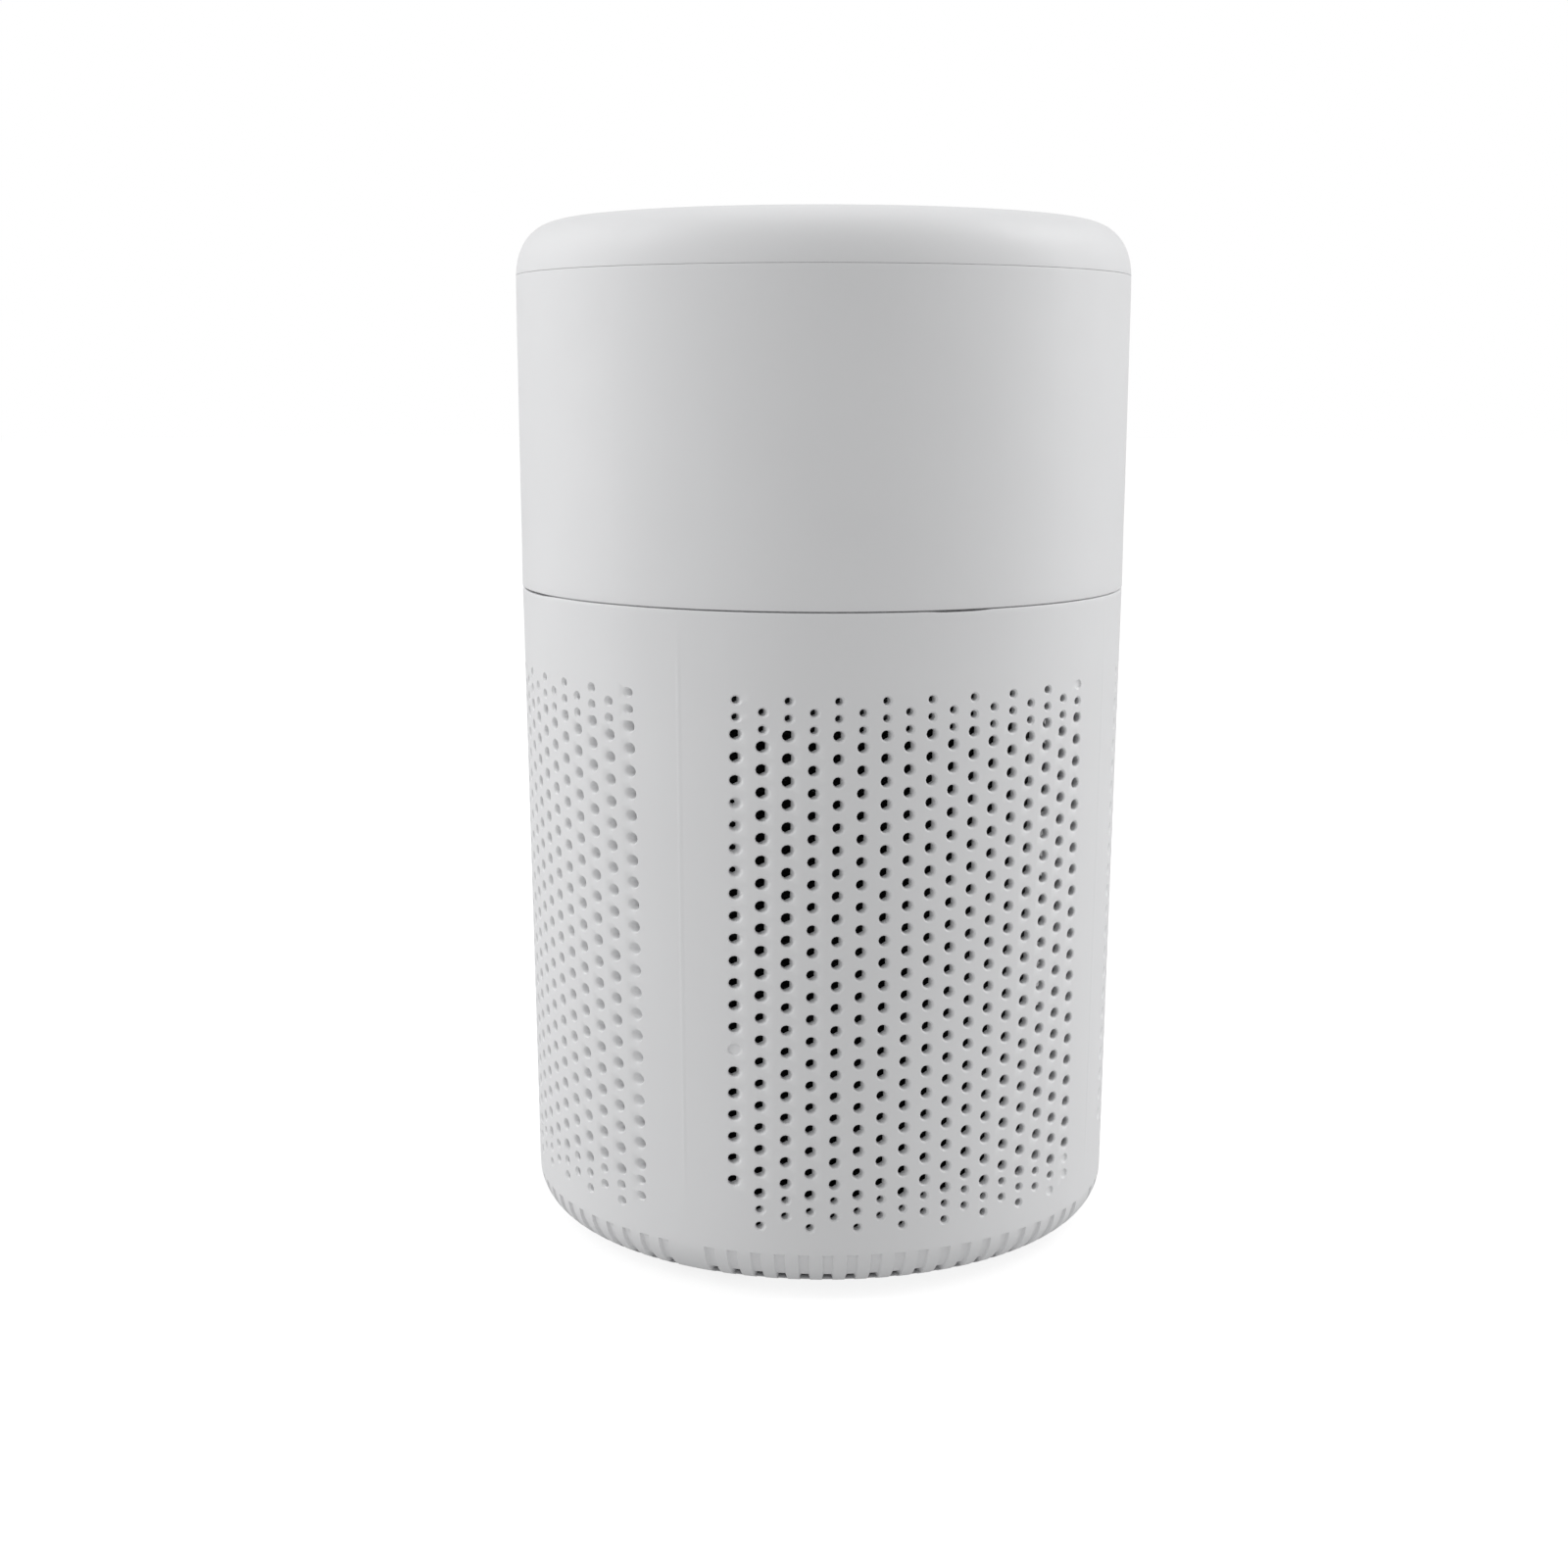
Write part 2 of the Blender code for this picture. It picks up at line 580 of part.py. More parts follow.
def pleated_paper():
    """Folded paper ring between the two filter caps."""
    bm = bmesh.new()
    low = FILTER_BOTTOM_Z + FILTER_CAP_HEIGHT + GAP
    high = FILTER_TOP_Z - FILTER_CAP_HEIGHT - GAP
    columns = []
    for index, angle in enumerate(spread(2 * PLEATS)):
        radius = PLEAT_OUTER_RADIUS if index % 2 == 0 else PLEAT_INNER_RADIUS
        sides = (radius + 0.5 * PAPER_THICKNESS, radius - 0.5 * PAPER_THICKNESS)
        corners = [(sides[0], low), (sides[0], high), (sides[1], high), (sides[1], low)]
        columns.append([bm.verts.new(polar(r, angle, z)) for r, z in corners])
    for index, here in enumerate(columns):
        there = columns[(index + 1) % len(columns)]
        for corner in range(4):
            after = (corner + 1) % 4
            bm.faces.new((here[corner], there[corner], there[after], here[after]))
    return bm


def make_filter():
    low = FILTER_BOTTOM_Z + FILTER_CAP_HEIGHT
    high = FILTER_TOP_Z - FILTER_CAP_HEIGHT
    add_object("filter_bottom_cap", ring(FILTER_BORE_RADIUS, FILTER_CAP_RADIUS, FILTER_BOTTOM_Z, low,
                                         INNER_STEPS), GREY)
    add_object("filter_top_cap", ring(FILTER_BORE_RADIUS, FILTER_CAP_RADIUS, high, FILTER_TOP_Z,
                                      INNER_STEPS), GREY)
    add_object("hepa_media", pleated_paper(), PAPER)
    add_object("carbon_layer", ring(CARBON_OUTER_RADIUS - CARBON_THICKNESS, CARBON_OUTER_RADIUS,
                                    low + GAP, high - GAP, INNER_STEPS), CARBON)
    add_object("prefilter_mesh", ring(PREFILTER_RADIUS - PREFILTER_THICKNESS, PREFILTER_RADIUS,
                                      low + GAP, high - GAP, SHELL_STEPS), MESH)
    add_object("filter_seal", ring(INLET_RADIUS + 3.5 * MM, FILTER_CAP_RADIUS - 1.0 * MM,
                                   FILTER_TOP_Z + GAP, DECK_Z - GAP, INNER_STEPS), FOAM)
    tab = bmesh.new()
    add_block(tab, (14.0 * MM, 18.0 * MM, 0.6 * MM), (0.0, 10.0 * MM, FILTER_BOTTOM_Z + 4.9 * MM))
    add_object("filter_pull_tab", tab, BLACK)


# ---------------------------------------------------------------------------------------------
# Fan
# ---------------------------------------------------------------------------------------------
def make_screw(name, place, head_bottom, shank_end):
    """Pan-head screw along Z. The shank runs from the head to shank_end, above or below it."""
    head_top = head_bottom + SCREW_HEAD_HEIGHT
    if shank_end > head_top:
        profile = [(0.0, head_bottom), (0.6 * SCREW_HEAD_RADIUS, head_bottom),
                   (SCREW_HEAD_RADIUS, head_bottom + 0.5 * SCREW_HEAD_HEIGHT), (SCREW_HEAD_RADIUS, head_top),
                   (SCREW_RADIUS, head_top), (SCREW_RADIUS, shank_end - 1.0 * MM), (0.0, shank_end)]
    else:
        profile = [(0.0, shank_end), (SCREW_RADIUS, shank_end + 1.0 * MM), (SCREW_RADIUS, head_bottom),
                   (SCREW_HEAD_RADIUS, head_bottom), (SCREW_HEAD_RADIUS, head_top - 0.5 * SCREW_HEAD_HEIGHT),
                   (0.6 * SCREW_HEAD_RADIUS, head_top), (0.0, head_top)]
    add_object(name, turned(profile, SCREW_STEPS), STEEL, location=(place.x, place.y, 0.0))


def make_inlet_deck():
    top = DECK_Z + DECK_THICKNESS
    profile = [
        (INLET_RADIUS + 1.4 * MM, DECK_Z),
        (DECK_RADIUS, DECK_Z),
        (DECK_RADIUS, top),
        (INLET_RADIUS + 4.5 * MM, top),
        (INLET_RADIUS + 2.2 * MM, top + 2.0 * MM),
        (INLET_RADIUS + 1.6 * MM, INLET_LIP_Z),
        (INLET_RADIUS, INLET_LIP_Z),
        (INLET_RADIUS, DECK_Z + 3.0 * MM),
    ]
    deck = add_object("filter_deck", turned(profile, SHELL_STEPS), WHITE_INNER)
    places = [polar(DECK_SCREW_CIRCLE, angle) for angle in spread(4, math.radians(45.0))]
    holes = rods(places, SCREW_HOLE_RADIUS, DECK_Z - 1.0 * MM, top + 1.0 * MM, SCREW_STEPS)
    shape(deck, holes, "DIFFERENCE")
    for index, place in enumerate(places, start=1):
        make_screw(f"deck_screw_{index}", place, DECK_Z - GAP - SCREW_HEAD_HEIGHT, DECK_Z + 10.0 * MM)


def make_inlet_guard():
    """Finger guard of three rings and six spokes inside the bell mouth."""
    low = DECK_Z + 3.4 * MM
    high = low + 1.6 * MM
    outer = INLET_RADIUS - 0.5 * MM
    guard = add_object("inlet_guard", ring(outer - 1.6 * MM, outer, low, high, INNER_STEPS), WHITE_INNER)
    shape(guard, ring(17.0 * MM, 18.4 * MM, low, high, INNER_STEPS), "UNION")
    shape(guard, disc(6.0 * MM, low, high, SMALL_STEPS), "UNION")
    spokes = bmesh.new()
    length = outer - 5.8 * MM
    for angle in spread(6):
        add_block(spokes, (length, 1.4 * MM, high - low - 0.2 * MM),
                  (5.0 * MM + 0.5 * length, 0.0, 0.5 * (low + high)), angle)
    shape(guard, spokes, "UNION")


def make_fan_housing():
    low = DECK_Z + DECK_THICKNESS + GAP
    duct = add_object("fan_housing", ring(DUCT_INNER_RADIUS, DUCT_OUTER_RADIUS, low, DUCT_TOP_Z, SHELL_STEPS),
                      WHITE_INNER)
    floor_top = HUB_Z + HUB_FLOOR
    hub = turned([(0.0, HUB_Z), (HUB_RADIUS, HUB_Z), (HUB_RADIUS, HUB_TOP_Z),
                  (HUB_RADIUS - HUB_WALL, HUB_TOP_Z), (HUB_RADIUS - HUB_WALL, floor_top), (0.0, floor_top)],
                 INNER_STEPS)
    shape(duct, hub, "UNION")
    vanes = bmesh.new()
    inner = HUB_RADIUS - 0.8 * MM
    outer = 0.5 * (DUCT_INNER_RADIUS + DUCT_OUTER_RADIUS)
    for angle in spread(STATOR_VANES):
        add_block(vanes, (outer - inner, 1.6 * MM, 9.0 * MM), (0.5 * (outer + inner), 0.0, HUB_Z + 5.5 * MM),
                  angle)
    shape(duct, vanes, "UNION")
    posts = [polar(DECK_SCREW_CIRCLE, angle) for angle in spread(4, math.radians(45.0))]
    shape(duct, rods(posts, 3.2 * MM, low, low + 13.0 * MM, BOSS_STEPS), "UNION")
    tabs = bmesh.new()
    tab_angles = spread(4, math.radians(22.5))
    tab_inner = 0.5 * (DUCT_INNER_RADIUS + DUCT_OUTER_RADIUS)
    tab_outer = UPPER_FOOT_RADIUS - WALL - 0.8 * MM
    for angle in tab_angles:
        add_block(tabs, (tab_outer - tab_inner, 9.0 * MM, TAB_THICKNESS),
                  (0.5 * (tab_outer + tab_inner), 0.0, TAB_Z + 0.5 * TAB_THICKNESS), angle)
    shape(duct, tabs, "UNION")
    tab_places = [polar(HOUSING_SCREW_CIRCLE, angle) for angle in tab_angles]
    motor_places = [polar(MOTOR_SCREW_CIRCLE, angle) for angle in spread(3, math.radians(30.0))]
    shape(duct, rods(posts, SCREW_HOLE_RADIUS, low - 1.0 * MM, low + 10.0 * MM, SCREW_STEPS), "DIFFERENCE")
    shape(duct, rods(tab_places, SCREW_HOLE_RADIUS, TAB_Z - 1.0 * MM, TAB_Z + 3.0 * MM, SCREW_STEPS),
          "DIFFERENCE")
    shape(duct, rods(motor_places, SCREW_HOLE_RADIUS, HUB_Z - 1.0 * MM, floor_top + 1.0 * MM, SCREW_STEPS),
          "DIFFERENCE")
    for index, place in enumerate(tab_places, start=1):
        make_screw(f"housing_screw_{index}", place, TAB_Z - GAP - SCREW_HEAD_HEIGHT, TAB_Z + 11.0 * MM)
    return motor_places


def make_motor(screw_places):
    """Outer-rotor motor under the hub floor. Its cup and shaft turn with the impeller."""
    plate_top = HUB_Z - GAP
    plate_bottom = plate_top - MOTOR_PLATE_THICKNESS
    profile = [
        (0.0, plate_bottom),
        (BEARING_TUBE_INNER, plate_bottom),
        (BEARING_TUBE_INNER, BEARING_TUBE_BOTTOM_Z),
        (BEARING_TUBE_OUTER, BEARING_TUBE_BOTTOM_Z),
        (BEARING_TUBE_OUTER, plate_bottom),
        (MOTOR_PLATE_RADIUS, plate_bottom),
        (MOTOR_PLATE_RADIUS, plate_top),
        (0.0, plate_top),
    ]
    base = add_object("motor_base", turned(profile, INNER_STEPS), STEEL)
    shape(base, rods(screw_places, SCREW_HOLE_RADIUS, plate_bottom - 1.0 * MM, plate_top + 1.0 * MM,
                     SCREW_STEPS), "DIFFERENCE")
    for index, place in enumerate(screw_places, start=1):
        make_screw(f"motor_screw_{index}", place, HUB_Z + HUB_FLOOR + GAP, plate_bottom + 0.2 * MM)
    bearing_outer = BEARING_TUBE_INNER - GAP
    for name, bottom in (("bearing_lower", BEARING_TUBE_BOTTOM_Z + GAP), ("bearing_upper", UPPER_BEARING_Z)):
        bearing = ring(ROTOR_BORE_RADIUS, bearing_outer, bottom, bottom + BEARING_HEIGHT, SMALL_STEPS)
        add_object(name, bearing, BRONZE)
    core = ring(BEARING_TUBE_OUTER + GAP, STATOR_CORE_RADIUS, STATOR_BOTTOM_Z, STATOR_TOP_Z, INNER_STEPS)
    stator = add_object("motor_stator", core, COPPER)
    arms = bmesh.new()
    arm = (5.0 * MM, 3.0 * MM, STATOR_TOP_Z - STATOR_BOTTOM_Z - 2.0 * MM)
    arm_x = STATOR_CORE_RADIUS + 2.0 * MM
    for angle in spread(STATOR_POLES):
        add_block(arms, arm, (arm_x, 0.0, 0.5 * (STATOR_BOTTOM_Z + STATOR_TOP_Z)), angle)
    shape(stator, arms, "UNION")

    pivot = add_pivot("impeller_pivot")
    cup = [
        (ROTOR_BORE_RADIUS, ROTOR_BOTTOM_Z),
        (ROTOR_RADIUS, ROTOR_BOTTOM_Z),
        (ROTOR_RADIUS, ROTOR_TOP_Z),
        (ROTOR_RADIUS - ROTOR_WALL, ROTOR_TOP_Z),
        (ROTOR_RADIUS - ROTOR_WALL, ROTOR_BOTTOM_Z + ROTOR_WALL),
        (ROTOR_BORE_RADIUS, ROTOR_BOTTOM_Z + ROTOR_WALL),
    ]
    add_object("rotor_cup", turned(cup, INNER_STEPS), STEEL, pivot)
    shaft = disc(SHAFT_RADIUS, IMPELLER_BOTTOM_Z + 0.4 * MM, plate_bottom - 0.5 * MM, SMALL_STEPS)
    add_object("motor_shaft", shaft, STEEL, pivot)
    return pivot


def impeller_blade(bm, start_angle):
    """Backward-curved blade that rises into the hub's flared back plate."""
    steps = 4
    sections = []
    for index in range(steps + 1):
        share = index / steps
        radius = BLADE_ROOT_RADIUS + (BLADE_TIP_RADIUS - BLADE_ROOT_RADIUS) * share
        angle = start_angle - BLADE_SWEEP * share ** 1.3
        rise = max(0.0, (share - BLADE_FLAT_SHARE) / (1.0 - BLADE_FLAT_SHARE))
        low = IMPELLER_BOTTOM_Z + BLADE_TIP_RISE * rise
        high = back_plate_z(radius) + 0.8 * MM
        half = 0.5 * BLADE_THICKNESS / radius
        corners = [(angle - half, low), (angle + half, low), (angle + half, high), (angle - half, high)]
        sections.append([bm.verts.new(polar(radius, a, z)) for a, z in corners])
    for here, there in zip(sections, sections[1:]):
        for corner in range(4):
            after = (corner + 1) % 4
            bm.faces.new((here[corner], there[corner], there[after], here[after]))
    bm.faces.new(sections[0])
    bm.faces.new(sections[-1])


def back_plate_z(radius):
    """Height of the lower side of the impeller's back plate at a radius."""
    for (r0, z0), (r1, z1) in zip(BACK_PLATE, BACK_PLATE[1:]):
        if radius <= r1:
            return z0 + (z1 - z0) * (radius - r0) / (r1 - r0)
    return BACK_PLATE[-1][1]


def make_impeller(pivot):
    cup_inner = ROTOR_RADIUS + 0.4 * MM
    cup_outer = cup_inner + 1.5 * MM
    cup_top = ROTOR_TOP_Z + 0.4 * MM
    cup_floor = ROTOR_BOTTOM_Z - GAP
    profile = [(ROTOR_BORE_RADIUS, IMPELLER_BOTTOM_Z), (7.0 * MM, IMPELLER_BOTTOM_Z)] + BACK_PLATE
    profile += [
        (42.0 * MM, 145.2 * MM),
        (29.2 * MM, 141.5 * MM),
        (22.4 * MM, 136.7 * MM),
        (19.6 * MM, 131.8 * MM),
        (cup_outer, 131.8 * MM),
        (cup_outer, cup_top),
        (cup_inner, cup_top),
        (cup_inner, cup_floor),
        (ROTOR_BORE_RADIUS, cup_floor),
    ]
    impeller = add_object("impeller", turned(profile, INNER_STEPS), GREY, pivot)
    blades = bmesh.new()
    for angle in spread(IMPELLER_BLADES):
        impeller_blade(blades, angle)
    shape(impeller, blades, "UNION")


# ---------------------------------------------------------------------------------------------
# Controls in the top
# ---------------------------------------------------------------------------------------------
def make_controls():
    underside = PANEL_TOP_Z - PANEL_THICKNESS
    rim_bottom = underside - 2.0 * MM
    panel = add_object("control_panel", turned([
        (POWER_BUTTON_RADIUS + BUTTON_CLEARANCE, underside), (PANEL_RADIUS - 1.6 * MM, underside),
        (PANEL_RADIUS - 1.6 * MM, rim_bottom), (PANEL_RADIUS, rim_bottom), (PANEL_RADIUS, PANEL_TOP_Z),
        (POWER_BUTTON_RADIUS + BUTTON_CLEARANCE, PANEL_TOP_Z)], INNER_STEPS), WHITE)
    hole = [Vector((0.0, LIGHT_BUTTON_Y, 0.0))]
    shape(panel, rods(hole, LIGHT_BUTTON_RADIUS + BUTTON_CLEARANCE, underside - 1.0 * MM,
                      PANEL_TOP_Z + 1.0 * MM, SMALL_STEPS), "DIFFERENCE")
    add_object("light_ring", ring(RING_INNER_RADIUS, RING_OUTER_RADIUS, GRILLE_Z, PANEL_TOP_Z, INNER_STEPS),
               DIFFUSER)
    add_object("led_ring_board", ring(20.0 * MM, RING_OUTER_RADIUS, BOX_TOP_Z + GAP, GRILLE_Z - GAP,
                                      INNER_STEPS), BOARD)

    floor_top = BOX_Z + 1.6 * MM
    wall = RING_OUTER_RADIUS - 1.6 * MM
    box = add_object("control_box", turned([(0.0, BOX_Z), (RING_OUTER_RADIUS, BOX_Z),
                                            (RING_OUTER_RADIUS, BOX_TOP_Z), (wall, BOX_TOP_Z),
                                            (wall, floor_top), (0.0, floor_top)], INNER_STEPS), WHITE_INNER)
    screw_places = [Vector((side * BOARD_SCREW_X, 0.0, 0.0)) for side in (1.0, -1.0)]
    shape(box, rods(screw_places, 2.8 * MM, floor_top - 0.5 * MM, BOARD_Z - GAP, BOSS_STEPS), "UNION")
    shape(box, rods(screw_places, SCREW_HOLE_RADIUS, floor_top + 1.0 * MM, BOARD_Z + 1.0 * MM, SCREW_STEPS),
          "DIFFERENCE")
    board_top = BOARD_Z + BOARD_THICKNESS
    board = add_object("control_board", disc(22.0 * MM, BOARD_Z, board_top, INNER_STEPS), BOARD)
    shape(board, rods(screw_places, SCREW_HOLE_RADIUS, BOARD_Z - 1.0 * MM, board_top + 1.0 * MM, SCREW_STEPS),
          "DIFFERENCE")
    for index, place in enumerate(screw_places, start=1):
        make_screw(f"board_screw_{index}", place, board_top + GAP, BOARD_Z - 6.0 * MM)
    make_button("power", 0.0, POWER_BUTTON_RADIUS, INNER_STEPS, board_top)
    make_button("light", LIGHT_BUTTON_Y, LIGHT_BUTTON_RADIUS, SMALL_STEPS, board_top)


def make_button(name, y, radius, steps, board_top):
    """Button over its tactile switch. Button and plunger go down together."""
    pivot = add_pivot(f"{name}_button_pivot")
    pivot.location = (0.0, y, 0.0)
    top = PANEL_TOP_Z + 0.6 * MM
    skirt_bottom = PANEL_TOP_Z - PANEL_THICKNESS - 1.0 * MM
    switch_bottom = board_top + GAP
    switch_top = switch_bottom + SWITCH_HEIGHT
    plunger_top = switch_top + 0.9 * MM
    stem_radius = 2.0 * MM
    edge = 0.5 * MM
    cap = [(0.0, plunger_top + GAP), (stem_radius, plunger_top + GAP), (stem_radius, skirt_bottom + 0.8 * MM),
           (radius, skirt_bottom + 0.8 * MM), (radius, top - edge), (radius - edge, top), (0.0, top)]
    add_object(f"{name}_button", turned(cap, steps), WHITE, pivot)
    plunger_bottom = switch_bottom + 1.5 * MM
    plunger = disc(PLUNGER_RADIUS, plunger_bottom, plunger_top, SMALL_STEPS)
    add_object(f"{name}_plunger", plunger, BLACK, pivot)
    block = bmesh.new()
    add_block(block, (SWITCH_WIDTH, SWITCH_WIDTH, SWITCH_HEIGHT),
              (0.0, 0.0, 0.5 * (switch_bottom + switch_top)))
    switch = add_object(f"{name}_switch", block, BLACK, location=(0.0, y, 0.0))
    bore = disc(PLUNGER_RADIUS + GAP, switch_bottom + 0.4 * MM, switch_top + 1.0 * MM, SMALL_STEPS)
    shape(switch, bore, "DIFFERENCE")


# ---------------------------------------------------------------------------------------------
# Leads inside the housing
# ---------------------------------------------------------------------------------------------
def make_lead(name, corners, points, radius):
    """Round lead along a smooth curve through a few chosen places."""
    path = []
    padded = [corners[0]] + corners + [corners[-1]]
    spans = len(corners) - 1
    for index in range(points + 1):
        along = spans * index / points
        span = min(int(along), spans - 1)
        t = along - span
        p0, p1, p2, p3 = (Vector(p) for p in padded[span:span + 4])
        path.append(0.5 * (2.0 * p1 + (p2 - p0) * t + (2.0 * p0 - 5.0 * p1 + 4.0 * p2 - p3) * t ** 2
                           + (3.0 * p1 - p0 - 3.0 * p2 + p3) * t ** 3))
    curve = bpy.data.curves.new(name, "CURVE")
    curve.dimensions = "3D"
    curve.bevel_depth = radius
    curve.bevel_resolution = 2
    curve.use_fill_caps = True
    spline = curve.splines.new("POLY")
    spline.points.add(len(path) - 1)
    for point, place in zip(spline.points, path):
        point.co = (*place, 1.0)
    curve.materials.append(CABLE)
    lead = bpy.data.objects.new(name, curve)
    bpy.context.scene.collection.objects.link(lead)


def make_leads(socket_back):
    lead_radius = 0.9 * MM
    top_of_socket = SOCKET_Z + 5.0 * MM + GAP
    y = socket_back + 4.0 * MM
    make_lead("power_lead", [
        (0.0, y, top_of_socket),
        (0.0, y + 0.5 * MM, 150.0 * MM),
        (0.0, y, 163.0 * MM),
        (0.0, 42.0 * MM, 174.0 * MM),
        (0.0, 33.0 * MM, 177.5 * MM),
        (0.0, RING_OUTER_RADIUS + GAP, 178.0 * MM),
    ], 18, lead_radius)
    make_lead("motor_lead", [
        (15.0 * MM, 0.0, HUB_Z + HUB_FLOOR + GAP),
        (15.5 * MM, 0.0, 157.0 * MM),
        (12.5 * MM, 0.0, 164.0 * MM),
        (12.0 * MM, 0.0, BOX_Z - GAP),
    ], 9, lead_radius)


make_lower_shell()
make_upper_housing()
make_top_cap()
make_outlet_grille()
make_feet()
make_bottom_cover()
make_filter()
make_inlet_deck()
make_inlet_guard()
make_impeller(make_motor(make_fan_housing()))
make_controls()
make_leads(make_power_socket())
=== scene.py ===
"""Looks of the cylindrical desktop air purifier: moulded white shells, perforated intake panels, top grille
and controls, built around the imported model."""

import json
import math

import bmesh
import bpy
from mathutils import Matrix, Vector


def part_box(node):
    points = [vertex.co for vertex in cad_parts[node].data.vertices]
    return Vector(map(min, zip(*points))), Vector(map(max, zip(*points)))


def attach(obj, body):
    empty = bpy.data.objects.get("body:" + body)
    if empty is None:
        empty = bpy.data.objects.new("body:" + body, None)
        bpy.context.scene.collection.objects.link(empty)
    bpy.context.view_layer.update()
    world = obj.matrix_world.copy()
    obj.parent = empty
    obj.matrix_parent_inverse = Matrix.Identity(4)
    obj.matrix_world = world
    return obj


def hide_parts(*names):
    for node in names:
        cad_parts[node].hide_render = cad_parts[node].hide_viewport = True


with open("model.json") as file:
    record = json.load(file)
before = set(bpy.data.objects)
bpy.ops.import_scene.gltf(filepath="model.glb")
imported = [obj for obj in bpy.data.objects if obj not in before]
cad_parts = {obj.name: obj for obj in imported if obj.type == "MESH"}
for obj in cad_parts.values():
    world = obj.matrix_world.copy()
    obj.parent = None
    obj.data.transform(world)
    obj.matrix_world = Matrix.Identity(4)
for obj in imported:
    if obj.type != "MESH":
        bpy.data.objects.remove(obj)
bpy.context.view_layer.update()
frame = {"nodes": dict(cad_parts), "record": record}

MM = 0.001

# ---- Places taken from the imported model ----
shell_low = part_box("lower_shell")[0]
housing_low, housing_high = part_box("upper_housing")
cap_low, cap_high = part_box("top_cap")
grille_low, grille_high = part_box("outlet_grille")
panel_low, panel_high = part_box("control_panel")
ring_low, ring_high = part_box("light_ring")
power_low, power_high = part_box("power_button")
light_low, light_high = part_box("light_button")
socket_low, socket_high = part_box("power_socket")
cover_low, cover_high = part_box("bottom_cover")
foot_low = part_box("foot_1")[0]

HEIGHT = cap_high[2]
SHELL_BOTTOM = shell_low[2] + 0.38 * MM
SHOULDER_RADIUS = housing_high[0]
MIDDLE_SEAM_Z = housing_low[2] - 0.31 * MM
TOP_SEAM_Z = housing_high[2] + 0.26 * MM

# ---- Outer form ----
UPPER_FOOT_RADIUS = SHOULDER_RADIUS - 0.37 * MM
LOWER_TOP_RADIUS = SHOULDER_RADIUS - 0.41 * MM
LOWER_FOOT_RADIUS = SHOULDER_RADIUS - 2.10 * MM
WALL = 2.2 * MM
MIDDLE_SEAM_WIDTH = 0.15 * MM
TOP_SEAM_WIDTH = 0.03 * MM

SHOULDER_Z = HEIGHT - 11.6 * MM
SHOULDER_INSET = 10.7 * MM
SHOULDER_POWER = 2.5
BOTTOM_ROUND_Z = SHELL_BOTTOM + 7.7 * MM
BOTTOM_INSET = 7.7 * MM
BOTTOM_POWER = 2.05

# Intake panels: staggered columns of holes, evenly spaced in each panel's flat projection
PANELS = 4
COLUMNS = 17
COLUMN_PITCH = 4.042 * MM
ROWS = 25
ROW_PITCH = 4.034 * MM
SMALL_ROWS = 2                   # small holes at each end of a column
SMALL_SPACING = 0.7474           # their spacing, as a share of the row pitch
TOP_HOLE_Z = HEIGHT - 83.65 * MM
BIG_RADIUS = 0.93 * MM
SMALL_RADIUS = 0.66 * MM
PANEL_WALL = 1.8 * MM            # the wall is thinner where it is perforated
# Rounded mouth of each hole, as (how much wider than the hole, how deep), from the face inwards
MOUTH = ((0.32 * MM, 0.0), (0.14 * MM, 0.13 * MM), (0.0, 0.40 * MM))
PLAIN_MOUTH = (MOUTH[0], MOUTH[-1])   # small holes, and the right and back panels
DIMPLE_DEPTH = 0.42 * MM
HOLE_SIDES = 12
HOLE_START = math.radians(150.0)   # direction of a hole's first corner, which meets its cell's first corner
CELL_STEPS = 4                   # grid lines across one column

# Short grooves around the bottom edge
GROOVES_PER_PANEL = 19
GROOVE_ANGLE = math.radians(4.46)
GROOVE_HALF_WIDTH = 1.03 * MM
GROOVE_SIDE = 0.30 * MM
GROOVE_TOP_Z = SHELL_BOTTOM + 6.95 * MM
GROOVE_DEPTH = 0.48 * MM
NOTCH_DEPTH = 0.95 * MM
NOTCH_TOP_Z = SHELL_BOTTOM + 1.75 * MM
SHADE_RING_DEPTH = 0.09 * MM      # depth of the grey ring of painted shade below the shell's outside, at the lower end of each groove
NOTCH_END_RADIUS = 47.9 * MM

LATHE_STEPS = 192
SMALL_LATHE_STEPS = 96
SHARP_ANGLE = math.radians(28.0)

# ---- Camera ----
CAMERA_DISTANCE = 442.5 * MM
CAMERA_HEIGHT = 163.1 * MM
CAMERA_SIDE = -7.30 * MM
CAMERA_TURN = math.radians(-18.57)
CAMERA_TILT = math.radians(8.91)
CAMERA_ROLL = math.radians(0.086)
CAMERA_LENS = 52.27
CAMERA_SHIFT_Y = -0.03135


def make_camera():
    data = bpy.data.cameras.new("camera")
    data.lens = CAMERA_LENS
    data.sensor_width = 36.0
    data.shift_y = CAMERA_SHIFT_Y
    data.clip_start = 0.01
    data.clip_end = 50.0
    camera = bpy.data.objects.new("camera", data)
    bpy.context.scene.collection.objects.link(camera)
    turn = Matrix.Rotation(CAMERA_TURN, 4, "Z")
    place = Matrix.Translation((CAMERA_SIDE, -CAMERA_DISTANCE, CAMERA_HEIGHT))
    tilt = Matrix.Rotation(0.5 * math.pi - CAMERA_TILT, 4, "X")
    roll = Matrix.Rotation(CAMERA_ROLL, 4, "Z")
    camera.matrix_world = turn @ place @ tilt @ roll
    bpy.context.scene.camera = camera


make_camera()


# ---- Materials ----
def fill(node, values):
    """Set a node's sockets by name."""
    for socket, value in values.items():
        node.inputs[socket].default_value = value


